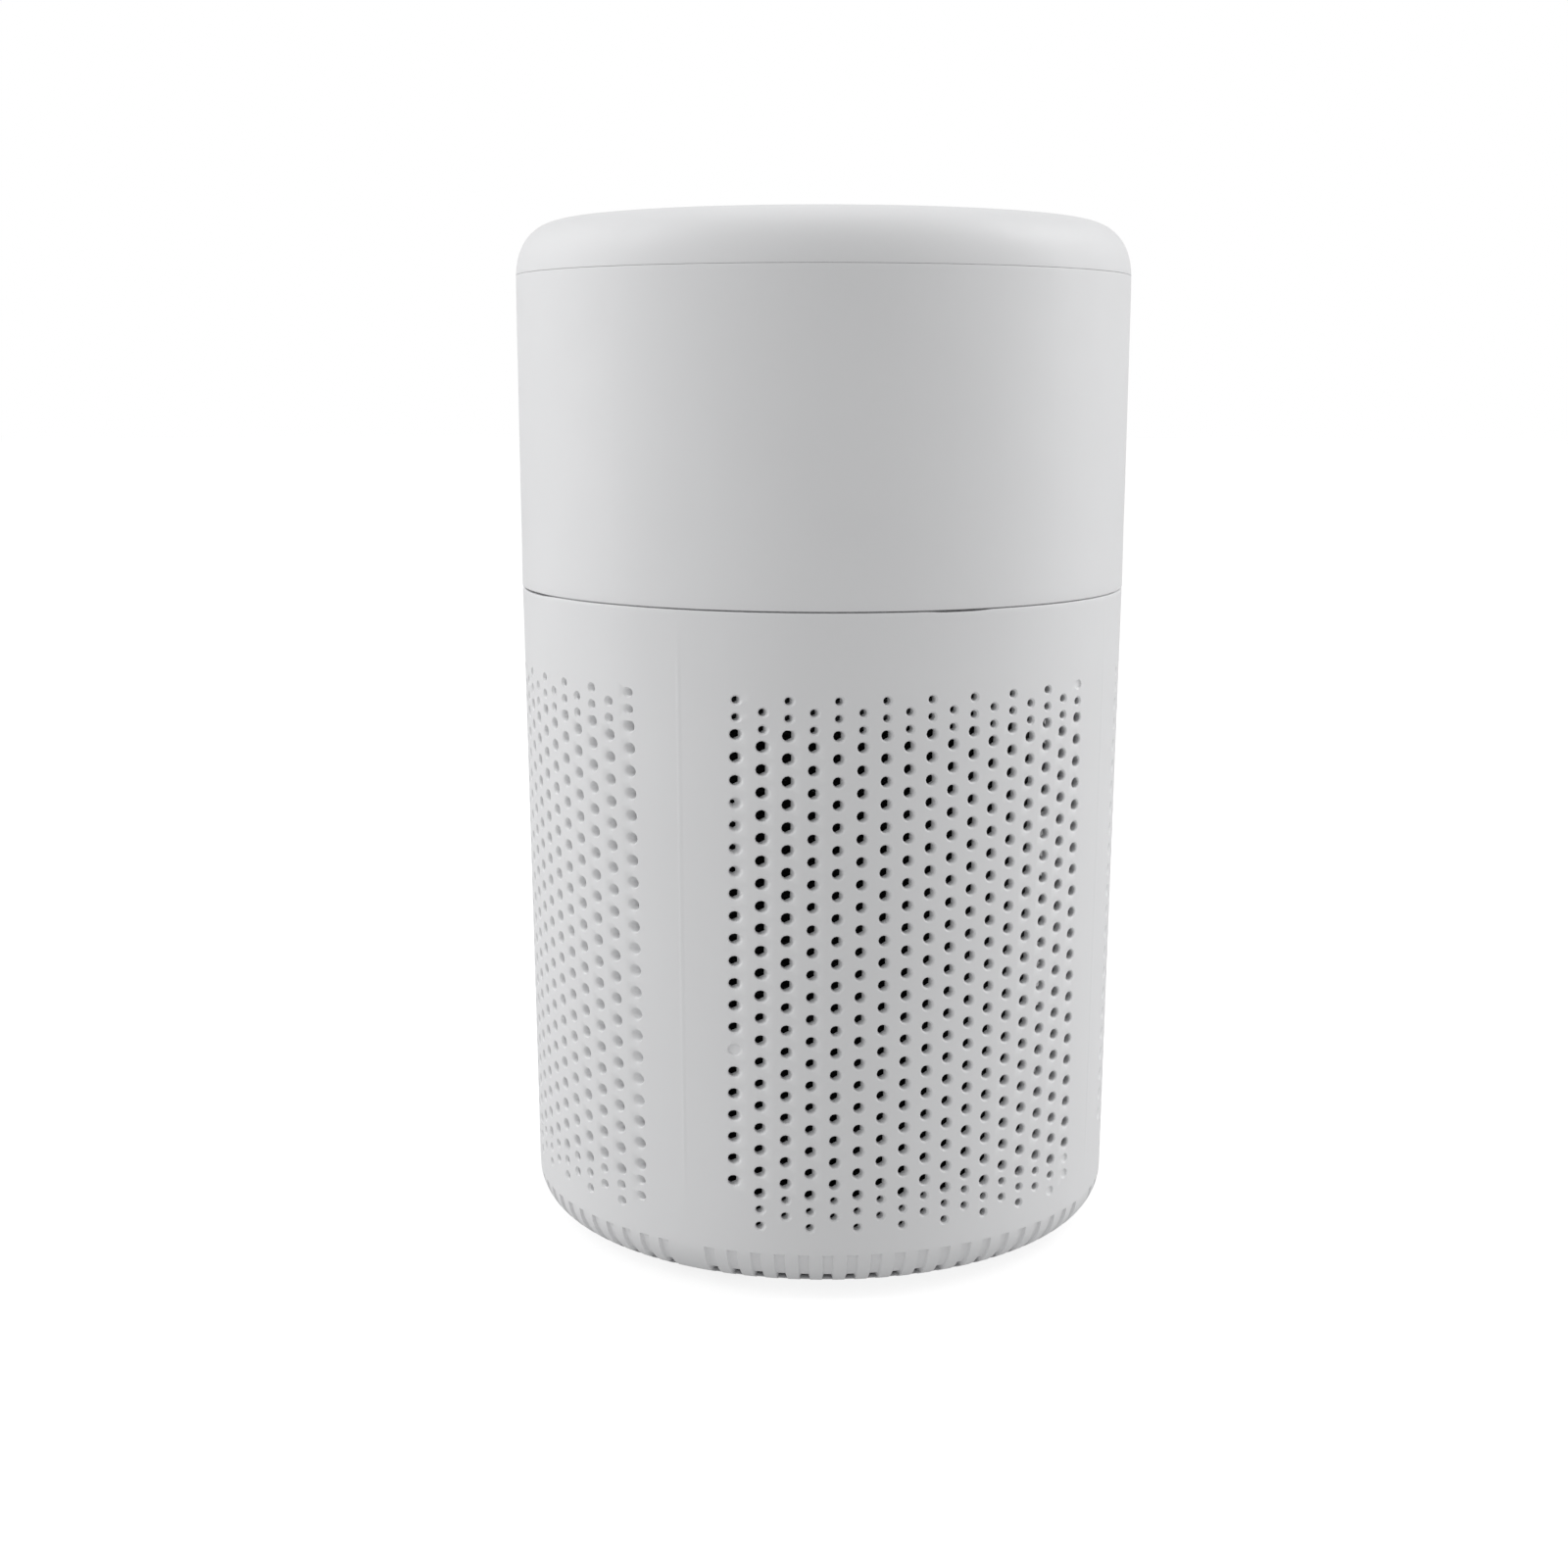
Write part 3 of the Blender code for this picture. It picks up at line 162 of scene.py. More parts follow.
class Surface:
    """Procedural material around one Principled shader, in the object's own coordinates."""

    def __init__(self, name, colour, roughness, metallic=0.0):
        self.material = bpy.data.materials.new(name)
        self.material.use_nodes = True
        self.material.diffuse_color = (*colour, 1.0)
        self.nodes = self.material.node_tree.nodes
        self.links = self.material.node_tree.links
        self.shader = self.nodes["Principled BSDF"]
        self.colour = colour
        self.roughness = roughness
        self.set({"Base Color": (*colour, 1.0), "Roughness": roughness, "Metallic": metallic})
        self.place = self.nodes.new("ShaderNodeTexCoord").outputs["Object"]
        self.height = None

    def set(self, values):
        fill(self.shader, values)

    def texture(self, kind, values, vector=None):
        """New node that reads the place on the object, or another vector."""
        node = self.nodes.new(kind)
        fill(node, values)
        self.links.new(vector or self.place, node.inputs["Vector"])
        return node

    def stretched(self, scale):
        return self.texture("ShaderNodeMapping", {"Scale": scale}).outputs["Vector"]

    def noise(self, scale, detail=3.0, roughness=0.5, vector=None):
        values = {"Scale": scale, "Detail": detail, "Roughness": roughness}
        return self.texture("ShaderNodeTexNoise", values, vector).outputs["Fac"]

    def wave(self, scale, direction, distortion=0.0):
        node = self.texture("ShaderNodeTexWave", {"Scale": scale, "Distortion": distortion})
        node.bands_direction = direction
        return node.outputs["Fac"]

    def spread(self, value, low, high, from_low=0.3, from_high=0.7):
        node = self.nodes.new("ShaderNodeMapRange")
        fill(node, {"From Min": from_low, "From Max": from_high, "To Min": low, "To Max": high})
        self.links.new(value, node.inputs["Value"])
        return node.outputs["Result"]

    def tint(self, value, dark, light, from_low=0.3, from_high=0.7):
        """Colour that runs between two shares of the base colour."""
        node = self.nodes.new("ShaderNodeMix")
        node.data_type = "RGBA"
        fill(node, {"A": (*[c * dark for c in self.colour], 1.0),
                    "B": (*[min(1.0, c * light) for c in self.colour], 1.0)})
        self.links.new(self.spread(value, 0.0, 1.0, from_low, from_high), node.inputs["Factor"])
        self.links.new(node.outputs["Result"], self.shader.inputs["Base Color"])

    def rough(self, value, spread):
        self.links.new(self.spread(value, self.roughness - spread, self.roughness + spread),
                       self.shader.inputs["Roughness"])

    def bump(self, value, distance, strength=1.0):
        node = self.nodes.new("ShaderNodeBump")
        fill(node, {"Distance": distance, "Strength": strength})
        self.links.new(value, node.inputs["Height"])
        if self.height is not None:
            self.links.new(self.height, node.inputs["Normal"])
        self.height = node.outputs["Normal"]
        self.links.new(self.height, self.shader.inputs["Normal"])


def moulded(name, colour, roughness):
    """Satin moulded plastic: fine spark-eroded grain, slow changes of gloss and a trace of tone."""
    surface = Surface(name, colour, roughness)
    surface.tint(surface.noise(38.0, 2.0), 0.988, 1.008)
    surface.rough(surface.noise(160.0, 4.0), 0.045)
    surface.bump(surface.noise(420.0, 2.0), 0.02 * MM, 0.35)
    surface.bump(surface.noise(5200.0, 2.0, 0.6), 0.010 * MM, 0.6)
    return surface.material


def foam(name, colour, cell=1500.0):
    surface = Surface(name, colour, 0.92)
    surface.set({"Specular IOR Level": 0.25})
    surface.tint(surface.noise(cell, 3.0), 0.6, 1.5)
    surface.bump(surface.noise(cell, 3.0, 0.7), 0.25 * MM, 0.8)
    return surface.material


def woven(name, colour, thread=900.0):
    """Fine mesh cloth: two crossing sets of threads."""
    surface = Surface(name, colour, 0.85)
    surface.set({"Sheen Weight": 0.15})
    around = surface.wave(thread, "DIAGONAL")
    upright = surface.wave(thread, "Z")
    surface.tint(surface.noise(300.0, 3.0), 0.7, 1.4)
    surface.bump(around, 0.08 * MM, 0.7)
    surface.bump(upright, 0.08 * MM, 0.7)
    return surface.material


def paper(name, colour):
    surface = Surface(name, colour, 0.9)
    fibres = surface.noise(1.0, 4.0, 0.7, surface.stretched((900.0, 900.0, 240.0)))
    surface.tint(fibres, 0.93, 1.03)
    surface.bump(fibres, 0.05 * MM, 0.7)
    return surface.material


def metal(name, colour, roughness, lines=(400.0, 400.0, 4000.0)):
    surface = Surface(name, colour, roughness, 1.0)
    streaks = surface.noise(1.0, 3.0, 0.6, surface.stretched(lines))
    surface.rough(streaks, 0.08)
    surface.tint(surface.noise(250.0, 2.0), 0.9, 1.06)
    surface.bump(streaks, 0.01 * MM, 0.4)
    return surface.material


def winding(name, colour):
    surface = Surface(name, colour, 0.35, 1.0)
    surface.tint(surface.noise(500.0, 2.0), 0.75, 1.1)
    surface.bump(surface.wave(2600.0, "Z", 0.6), 0.12 * MM, 0.9)
    return surface.material


def circuit(name, colour):
    surface = Surface(name, colour, 0.4)
    surface.set({"Coat Weight": 0.3})
    traces = surface.texture("ShaderNodeTexBrick", {"Scale": 260.0, "Mortar Size": 0.03})
    surface.tint(traces.outputs["Fac"], 1.0, 1.7, 0.0, 1.0)
    surface.bump(traces.outputs["Fac"], 0.03 * MM, 0.6)
    surface.rough(surface.noise(200.0), 0.06)
    return surface.material


def rubber(name, colour):
    surface = Surface(name, colour, 0.78)
    surface.set({"Specular IOR Level": 0.35})
    surface.tint(surface.noise(220.0, 3.0), 0.85, 1.2)
    surface.bump(surface.noise(3600.0, 3.0, 0.7), 0.02 * MM, 0.8)
    return surface.material


def milky(name, colour):
    """Frosted diffuser ring, which lets a little light through."""
    surface = Surface(name, colour, 0.38)
    surface.set({"Transmission Weight": 0.12, "IOR": 1.5})
    surface.tint(surface.noise(90.0, 2.0), 0.97, 1.02)
    surface.bump(surface.noise(3000.0, 2.0), 0.01 * MM, 0.6)
    return surface.material


WHITE = moulded("white_abs", (0.800, 0.803, 0.812), 0.46)
INNER = moulded("inner_abs", (0.70, 0.71, 0.72), 0.55)
GREY = moulded("grey_abs", (0.155, 0.160, 0.168), 0.48)
# Grey for the ring behind the bottom edge: painted shade in the notches at the lower ends of the grooves
NOTCH_SHADE_GREY = moulded("notch_shade_grey", (0.64, 0.64, 0.65), 0.55)
BLACK = moulded("black_abs", (0.020, 0.020, 0.022), 0.42)
MARK = moulded("mark_grey", (0.32, 0.33, 0.35), 0.5)
DIFFUSER = milky("diffuser", (0.86, 0.88, 0.90))
RUBBER = rubber("rubber", (0.085, 0.085, 0.09))
STEEL = metal("steel", (0.56, 0.56, 0.55), 0.34)

SLOTS = {
    "white_abs": WHITE,
    "inner_abs": INNER,
    "grey_abs": GREY,
    "black_abs": BLACK,
    "diffuser": DIFFUSER,
    "rubber": RUBBER,
    "foam": foam("foam", (0.030, 0.030, 0.032)),
    "filter_paper": paper("filter_paper", (0.80, 0.81, 0.79)),
    "carbon": foam("carbon", (0.012, 0.012, 0.013), 900.0),
    "prefilter": woven("prefilter", (0.016, 0.016, 0.018)),
    "steel": STEEL,
    "copper": winding("copper", (0.62, 0.30, 0.14)),
    "bronze": metal("bronze", (0.48, 0.33, 0.18), 0.45, (900.0, 900.0, 900.0)),
    "circuit_board": circuit("circuit_board", (0.015, 0.12, 0.055)),
    "cable": rubber("cable", (0.026, 0.026, 0.030)),
}


def dress_cad_nodes():
    """Give each carried-over CAD node the material of its slot."""
    for row in frame["record"]["subparts"]:
        node = frame["nodes"][row["node"]]
        node.data.materials.clear()
        node.data.materials.append(SLOTS[row["material_slot"]])


# ---- Mesh helpers ----
def polar(radius, angle, z):
    return Vector((radius * math.cos(angle), radius * math.sin(angle), z))


def spread(count, start=0.0):
    """Angles of pieces that are evenly spaced around the axis."""
    return [start + math.tau * index / count for index in range(count)]


def add_piece(name, verts, faces, material, body="housing", slot=None, replaces=None,
              sharp_angle=SHARP_ANGLE):
    mesh = bpy.data.meshes.new(name)
    mesh.from_pydata([tuple(v) for v in verts], [], faces)
    return finish_piece(name, mesh, material, body, replaces, sharp_angle)


def finish_piece(name, mesh, material, body="housing", replaces=None, sharp_angle=SHARP_ANGLE):
    """Outward faces, smooth shading with sharp edges kept, one material, and a place on its body."""
    bm = bmesh.new()
    bm.from_mesh(mesh)
    bmesh.ops.recalc_face_normals(bm, faces=bm.faces)
    bm.to_mesh(mesh)
    bm.free()
    mesh.shade_smooth()
    mesh.set_sharp_from_angle(angle=sharp_angle)
    mesh.materials.append(material)
    piece = bpy.data.objects.new(name, mesh)
    bpy.context.scene.collection.objects.link(piece)
    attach(piece, body)
    if replaces:
        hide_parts(replaces)
    return piece


def soften(points, steps=5):
    """Round the corners of a closed (radius, z, corner radius) outline with arcs."""
    outline = []
    count = len(points)
    for index, (r, z, size) in enumerate(points):
        here = Vector((r, z))
        if size <= 0.0:
            outline.append((r, z))
            continue
        before = Vector(points[index - 1][:2])
        after = Vector(points[(index + 1) % count][:2])
        back = (before - here).normalized()
        ahead = (after - here).normalized()
        half = 0.5 * back.angle(ahead)
        reach = min(size / math.tan(half), 0.49 * (before - here).length, 0.49 * (after - here).length)
        size = reach * math.tan(half)
        centre = here + (back + ahead).normalized() * (size / math.sin(half))
        start = here + back * reach - centre
        end = here + ahead * reach - centre
        sweep = start.angle_signed(end)
        for step in range(steps + 1):
            turn = -sweep * step / steps
            point = centre + Matrix.Rotation(turn, 2) @ start
            outline.append((point.x, point.y))
    return outline


def superellipse(radius, z, inset, rise, power, steps):
    """Corner from a wall at (radius, z) that comes in by inset over the height rise."""
    points = []
    for index in range(steps + 1):
        angle = 0.5 * math.pi * index / steps
        inward = 1.0 - math.cos(angle) ** (2.0 / power)
        points.append((radius - inset * inward, z + rise * math.sin(angle) ** (2.0 / power)))
    return points


def prism(outline, height):
    """A flat outline raised by a height."""
    bm = bmesh.new()
    face = bm.faces.new([bm.verts.new(point) for point in outline])
    extruded = bmesh.ops.extrude_face_region(bm, geom=[face])
    lifted = [item for item in extruded["geom"] if isinstance(item, bmesh.types.BMVert)]
    bmesh.ops.translate(bm, verts=lifted, vec=(0.0, 0.0, height))
    return bm


def plug(place, turn, depth, radius, far_radius=None, segments=48):
    """Round cutter, straight or tapered, turned about X."""
    bm = bmesh.new()
    bmesh.ops.create_cone(bm, cap_ends=True, segments=segments, radius1=radius, radius2=far_radius or radius,
                          depth=depth, matrix=Matrix.Translation(place) @ Matrix.Rotation(turn, 4, "X"))
    return mesh_of(bm)


def lathe_data(profile, steps, verts, faces, closed=True):
    """Add a turned outline to lists of vertices and faces. Points on the axis are shared."""
    index_of = []
    for r, z in profile:
        if r < 1e-7:
            index_of.append([len(verts)] * steps)
            verts.append(Vector((0.0, 0.0, z)))
        else:
            index_of.append(list(range(len(verts), len(verts) + steps)))
            verts.extend(polar(r, angle, z) for angle in spread(steps))
    rows = len(profile) if closed else len(profile) - 1
    for row in range(rows):
        here = index_of[row]
        there = index_of[(row + 1) % len(profile)]
        for step in range(steps):
            after = (step + 1) % steps
            corners = [here[step], here[after], there[after], there[step]]
            face = list(dict.fromkeys(corners))
            if len(face) > 2:
                faces.append(face)


def lathe(name, profile, steps, material, closed=True, **place):
    verts = []
    faces = []
    lathe_data(profile, steps, verts, faces, closed)
    return add_piece(name, verts, faces, material, **place)


def cut(piece, cutters):
    """Cut shapes out of a piece and bake the result."""
    helpers = []
    for mesh in cutters:
        helper = bpy.data.objects.new("helper", mesh)
        bpy.context.scene.collection.objects.link(helper)
        modifier = piece.modifiers.new("cut", "BOOLEAN")
        modifier.operation = "DIFFERENCE"
        modifier.object = helper
        helpers.append(helper)
    graph = bpy.context.evaluated_depsgraph_get()
    baked = bpy.data.meshes.new_from_object(piece.evaluated_get(graph))
    piece.modifiers.clear()
    piece.data = baked
    for helper in helpers:
        bpy.data.objects.remove(helper, do_unlink=True)
    baked.set_sharp_from_angle(angle=SHARP_ANGLE)


def mesh_of(bm, name="helper"):
    bmesh.ops.recalc_face_normals(bm, faces=bm.faces)
    mesh = bpy.data.meshes.new(name)
    bm.to_mesh(mesh)
    bm.free()
    return mesh


# ---- Lower shell with its perforated panels ----
def wall_radius(z):
    share = (z - BOTTOM_ROUND_Z) / (MIDDLE_SEAM_Z - BOTTOM_ROUND_Z)
    return LOWER_FOOT_RADIUS + (LOWER_TOP_RADIUS - LOWER_FOOT_RADIUS) * share


def turned_in(share, inset, power):
    """How far a rounded edge has come in at a share of its height."""
    return inset * (1.0 - (1.0 - share ** power) ** (1.0 / power))


def bottom_radius(z):
    """Outer radius near the bottom edge, where the wall turns under."""
    if z >= BOTTOM_ROUND_Z:
        return wall_radius(z)
    share = (BOTTOM_ROUND_Z - z) / (BOTTOM_ROUND_Z - SHELL_BOTTOM)
    return LOWER_FOOT_RADIUS - turned_in(share, BOTTOM_INSET, BOTTOM_POWER)


def bottom_corner():
    return superellipse(LOWER_FOOT_RADIUS, BOTTOM_ROUND_Z, BOTTOM_INSET, SHELL_BOTTOM - BOTTOM_ROUND_Z,
                        BOTTOM_POWER, 16)


def hole_levels():
    """Heights of the staggered hole centres from the top down, first and last levels included.

    Odd levels are the hole centres of columns 0, 2, 4 and so on, and even levels those of the columns between
    them. The cells of one set of columns end at the hole centres of the other.
    """
    drops = [0.0]
    for row in range(1, ROWS):
        near_end = row <= SMALL_ROWS or row >= ROWS - SMALL_ROWS
        drops.append(drops[-1] + (SMALL_SPACING if near_end else 1.0))
    levels = [TOP_HOLE_Z + 0.5 * ROW_PITCH]
    for drop in drops:
        levels.append(TOP_HOLE_Z - drop * ROW_PITCH)
        levels.append(TOP_HOLE_Z - (drop + 0.5) * ROW_PITCH)
    levels.append(TOP_HOLE_Z - (drops[-1] + 1.0) * ROW_PITCH)
    return levels


LEVELS = hole_levels()

# Irregular holes, by (panel, column, row): left out, left as dimples, or narrower or wider inside
FRONT, RIGHT, BACK, LEFT = range(PANELS)
CLOSED = {(panel, 0, row) for panel in range(PANELS) for row in (ROWS - 2, ROWS - 1)}
DIMPLES = {(FRONT, 16, row) for row in (0, ROWS - 2, ROWS - 1)} | {(FRONT, 15, ROWS - 1), (FRONT, 0, 16)}
NARROW = {(FRONT, 0, 6), (FRONT, 0, 7), (FRONT, 0, 8)} | {(LEFT, 16, row) for row in range(12, 20)}
FLASH = {(FRONT, 0, 5)}          # all but closed behind the mouth
WIDE = {(FRONT, column, row) for column in (1, 2) for row in range(2, 14)}
NARROWING = 0.35 * MM
FLASH_NARROWING = 0.56 * MM
WIDENING = 0.10 * MM


def plane_point(panel, across, z, radius, depth=0.0):
    """Point on a cylinder wall over a place in a panel's flat projection, sunk along the panel's axis."""
    middle = -0.5 * math.pi + panel * math.tau / PANELS
    out = math.sqrt(radius * radius - across * across) - depth
    normal = Vector((math.cos(middle), math.sin(middle), 0.0))
    side = Vector((-math.sin(middle), math.cos(middle), 0.0))
    return normal * out + side * across + Vector((0.0, 0.0, z))


STRIP_PLACES = (0.0, 0.25, 0.458, 0.48, 0.5, 0.52, 0.542, 0.75)
RIDGE_PLACE = 4
RIDGE_HEIGHT = 0.08 * MM
RIDGE_LOW_Z = 14.0 * MM
RIDGE_LOW_FADE = 12.0 * MM
RIDGE_HIGH_Z = 121.0 * MM
RIDGE_HIGH_FADE = 8.0 * MM
PANEL_LINES = COLUMNS * CELL_STEPS
PANEL_HALF = 0.5 * COLUMNS * COLUMN_PITCH
STATIONS_PER_PANEL = PANEL_LINES + len(STRIP_PLACES)
STATIONS = PANELS * STATIONS_PER_PANEL


def station_angle(station, radius):
    """Angle of a grid station at a radius. Panel lines keep their place in the flat projection."""
    panel, place = divmod(station, STATIONS_PER_PANEL)
    middle = -0.5 * math.pi + panel * math.tau / PANELS
    if place < PANEL_LINES:
        return middle + math.asin((place / CELL_STEPS * COLUMN_PITCH - PANEL_HALF) / radius)
    edge = math.asin(PANEL_HALF / radius)
    strip = math.tau / PANELS - 2.0 * edge
    return middle + edge + strip * STRIP_PLACES[place - PANEL_LINES]


def ridge(station, z):
    """Height of the parting line at a station: a hair-thin ridge along the middle of each strip."""
    if station % STATIONS_PER_PANEL != PANEL_LINES + RIDGE_PLACE:
        return 0.0
    rise = max(0.0, (z - RIDGE_LOW_Z) / RIDGE_LOW_FADE)
    fall = max(0.0, (RIDGE_HIGH_Z - z) / RIDGE_HIGH_FADE)
    return RIDGE_HEIGHT * min(1.0, rise, fall)


# Stretches where the middle seam gapes, as (direction, half width, how far it opens)
SEAM_GAPES = (
    (math.radians(-110.0), math.radians(30.0), 0.32),
    (math.radians(-85.3), math.radians(5.6), 1.0),
    (math.radians(-178.0), math.radians(9.0), 0.9),
)


def seam_opening(angle):
    """How far the middle seam gapes in a direction, from 0 to 1."""
    return max(share * math.exp(-(math.remainder(angle - middle, math.tau) / half) ** 4)
               for middle, half, share in SEAM_GAPES)


def make_lower_shell():
    verts = []
    faces = []

    def add(point):
        verts.append(point)
        return len(verts) - 1

    def grid_ring(radius, z, ridged=False, deeper=0.0, lower=0.0):
        """Ring of the grid, with the parting lines or the gape of the seam worked in."""
        ring = []
        for station in range(STATIONS):
            angle = station_angle(station, radius)
            extra = ridge(station, z) if ridged else 0.0
            gape = seam_opening(angle) if deeper or lower else 0.0
            ring.append(add(polar(radius + extra - deeper * gape, angle, z - lower * gape)))
        return ring

    def join(upper, lower):
        count = len(upper)
        for index in range(count):
            after = (index + 1) % count
            faces.append((upper[index], lower[index], lower[after], upper[after]))

    def zip_rings(first, second):
        """Join two rings of different counts with triangles, by the angle of their vertices."""
        def sorted_ring(ring):
            return sorted(((math.atan2(verts[i].y, verts[i].x) % math.tau, i) for i in ring))
        a = sorted_ring(first)
        b = sorted_ring(second)
        i = j = 0
        while i < len(a) or j < len(b):
            next_a = a[(i + 1) % len(a)][0] + (math.tau if i + 1 >= len(a) else 0.0)
            next_b = b[(j + 1) % len(b)][0] + (math.tau if j + 1 >= len(b) else 0.0)
            here_a = a[i % len(a)][1]
            here_b = b[j % len(b)][1]
            if j >= len(b) or (i < len(a) and next_a <= next_b):
                faces.append((here_a, a[(i + 1) % len(a)][1], here_b))
                i += 1
            else:
                faces.append((here_a, b[(j + 1) % len(b)][1], here_b))
                j += 1

    # Perforated band: one grid on the outer wall and one on the inner wall
    outer = [grid_ring(wall_radius(z), z, ridged=True) for z in LEVELS]
    inner = [grid_ring(wall_radius(z) - PANEL_WALL, z) for z in LEVELS]
    for panel in range(PANELS):
        first = panel * STATIONS_PER_PANEL
        for column in range(COLUMNS):
            start_level = 0 if column % 2 == 0 else 1
            lines = [first + column * CELL_STEPS + step for step in range(CELL_STEPS + 1)]
            centre = (column + 0.5) * COLUMN_PITCH - PANEL_HALF
            for row in range(ROWS):
                top = start_level + 2 * row
                add_cell(faces, add, outer, inner, lines, top, panel, column, row, centre)
            spare = (0, 1) if column % 2 else (len(LEVELS) - 2, len(LEVELS) - 1)
            for grid in (outer, inner):
                for near, far in zip(lines, lines[1:]):
                    faces.append((grid[spare[0]][near], grid[spare[1]][near], grid[spare[1]][far],
                                  grid[spare[0]][far]))
        for step in range(len(STRIP_PLACES)):
            near = first + PANEL_LINES + step
            far = (near + 1) % STATIONS
            for grid in (outer, inner):
                for upper, lower in zip(grid, grid[1:]):
                    faces.append((upper[near], lower[near], lower[far], upper[far]))

    # Above the holes: plain wall, softened rim, lip inside the upper housing
    rim = MIDDLE_SEAM_Z - 0.5 * MIDDLE_SEAM_WIDTH
    soft = 0.28 * MM
    lip = LOWER_TOP_RADIUS - 0.75 * MM
    deeper = 0.9 * MM
    lower = 0.24 * MM
    rings = [outer[0]]
    plain_wall_z = (112.0 * MM, 116.0 * MM, 120.0 * MM, rim - 1.0 * MM)
    for z in plain_wall_z:
        rings.append(grid_ring(wall_radius(z), z, ridged=True))
    for step in range(5):
        turn = 0.5 * math.pi * step / 4
        rings.append(grid_ring(LOWER_TOP_RADIUS - soft * (1.0 - math.cos(turn)),
                               rim - soft * (1.0 - math.sin(turn)), lower=lower))
    rings.append(grid_ring(lip, rim, deeper=deeper, lower=lower))
    rings.append(grid_ring(lip, rim + 2.8 * MM, deeper=deeper))
    rings.append(grid_ring(LOWER_TOP_RADIUS - WALL - 0.3 * MM, rim + 2.8 * MM))
    rings.append(grid_ring(LOWER_TOP_RADIUS - WALL - 0.3 * MM, rim - 8.0 * MM))
    rings.append(inner[0])
    for upper, lower in zip(rings[1:], rings):
        join(upper, lower)

    # Bottom edge with its grooves
    stations = groove_stations()
    band_z = (BOTTOM_ROUND_Z + 1.0 * MM, BOTTOM_ROUND_Z, 0.5 * (BOTTOM_ROUND_Z + GROOVE_TOP_Z), GROOVE_TOP_Z)

    def groove_ring(radius, z, normal, depth):
        ring = []
        for angle, share in stations:
            sink = depth * share
            ring.append(add(polar(radius - normal[0] * sink, angle, z - normal[1] * sink)))
        return ring

    lower_rings = [groove_ring(bottom_radius(z), z, (1.0, 0.0), 0.0) for z in band_z]
    path = [(bottom_radius(GROOVE_TOP_Z - GROOVE_SIDE), GROOVE_TOP_Z - GROOVE_SIDE)]
    path += [point for point in bottom_corner() if point[1] < GROOVE_TOP_Z - 2.0 * GROOVE_SIDE]
    path.append((NOTCH_END_RADIUS, SHELL_BOTTOM))
    count = len(path)
    for index, (r, z) in enumerate(path):
        before = Vector(path[max(0, index - 1)])
        after = Vector(path[min(count - 1, index + 1)])
        along = (after - before).normalized()
        normal = (-along.y, along.x)
        if normal[0] < 0.0:
            normal = (along.y, -along.x)
        lower_rings.append(groove_ring(r, z, normal, GROOVE_DEPTH if z > NOTCH_TOP_Z else NOTCH_DEPTH))
    opening = COVER_OPENING_RADIUS
    floor_top = SHELL_BOTTOM + 2.4 * MM
    underside = [(NOTCH_END_RADIUS - GROOVE_SIDE, SHELL_BOTTOM), (opening + 0.4 * MM, SHELL_BOTTOM),
                 (opening + 0.12 * MM, SHELL_BOTTOM + 0.12 * MM), (opening, SHELL_BOTTOM + 0.4 * MM),
                 (opening, LEDGE_BOTTOM_Z), (LEDGE_RADIUS, LEDGE_BOTTOM_Z), (LEDGE_RADIUS, LEDGE_TOP_Z),
                 (LEDGE_RADIUS + 3.6 * MM, LEDGE_TOP_Z), (LEDGE_RADIUS + 3.6 * MM, floor_top + 1.6 * MM),
                 (50.0 * MM, floor_top + 1.7 * MM)]
    for r, z in underside:
        lower_rings.append(groove_ring(r, z, (0.0, 0.0), 0.0))
    for upper, lower in zip(lower_rings, lower_rings[1:]):
        join(upper, lower)
    zip_rings(outer[-1], lower_rings[0])
    zip_rings(inner[-1], lower_rings[-1])
    # Grid points inside the cells are not used by any face
    used = sorted({index for face in faces for index in face})
    place = {old: new for new, old in enumerate(used)}
    verts = [verts[old] for old in used]
    faces = [tuple(place[index] for index in face) for face in faces]
    add_piece("perforated_shell", verts, faces, WHITE, slot="white_abs", replaces="lower_shell",
              sharp_angle=math.radians(31.0))


def make_notch_shade_ring():
    """Grey ring of painted shade behind the bottom edge. It shows only in the notches at the lower ends of
    the grooves, where it stands in for their shade.
    """
    outside = []
    for r, z in bottom_corner():
        outward = Vector((r - LOWER_FOOT_RADIUS + BOTTOM_INSET, z - BOTTOM_ROUND_Z)).normalized()
        outside.append((r - SHADE_RING_DEPTH * outward.x, z - SHADE_RING_DEPTH * outward.y))
    outside = [point for point in outside if point[1] < NOTCH_TOP_Z - 0.1 * MM]
    inner = NOTCH_END_RADIUS + 0.2 * MM
    outline = outside + [(inner, outside[-1][1]), (inner, outside[0][1])]
    lathe("notch_shade_ring", outline, LATHE_STEPS, NOTCH_SHADE_GREY, slot="grey_abs")


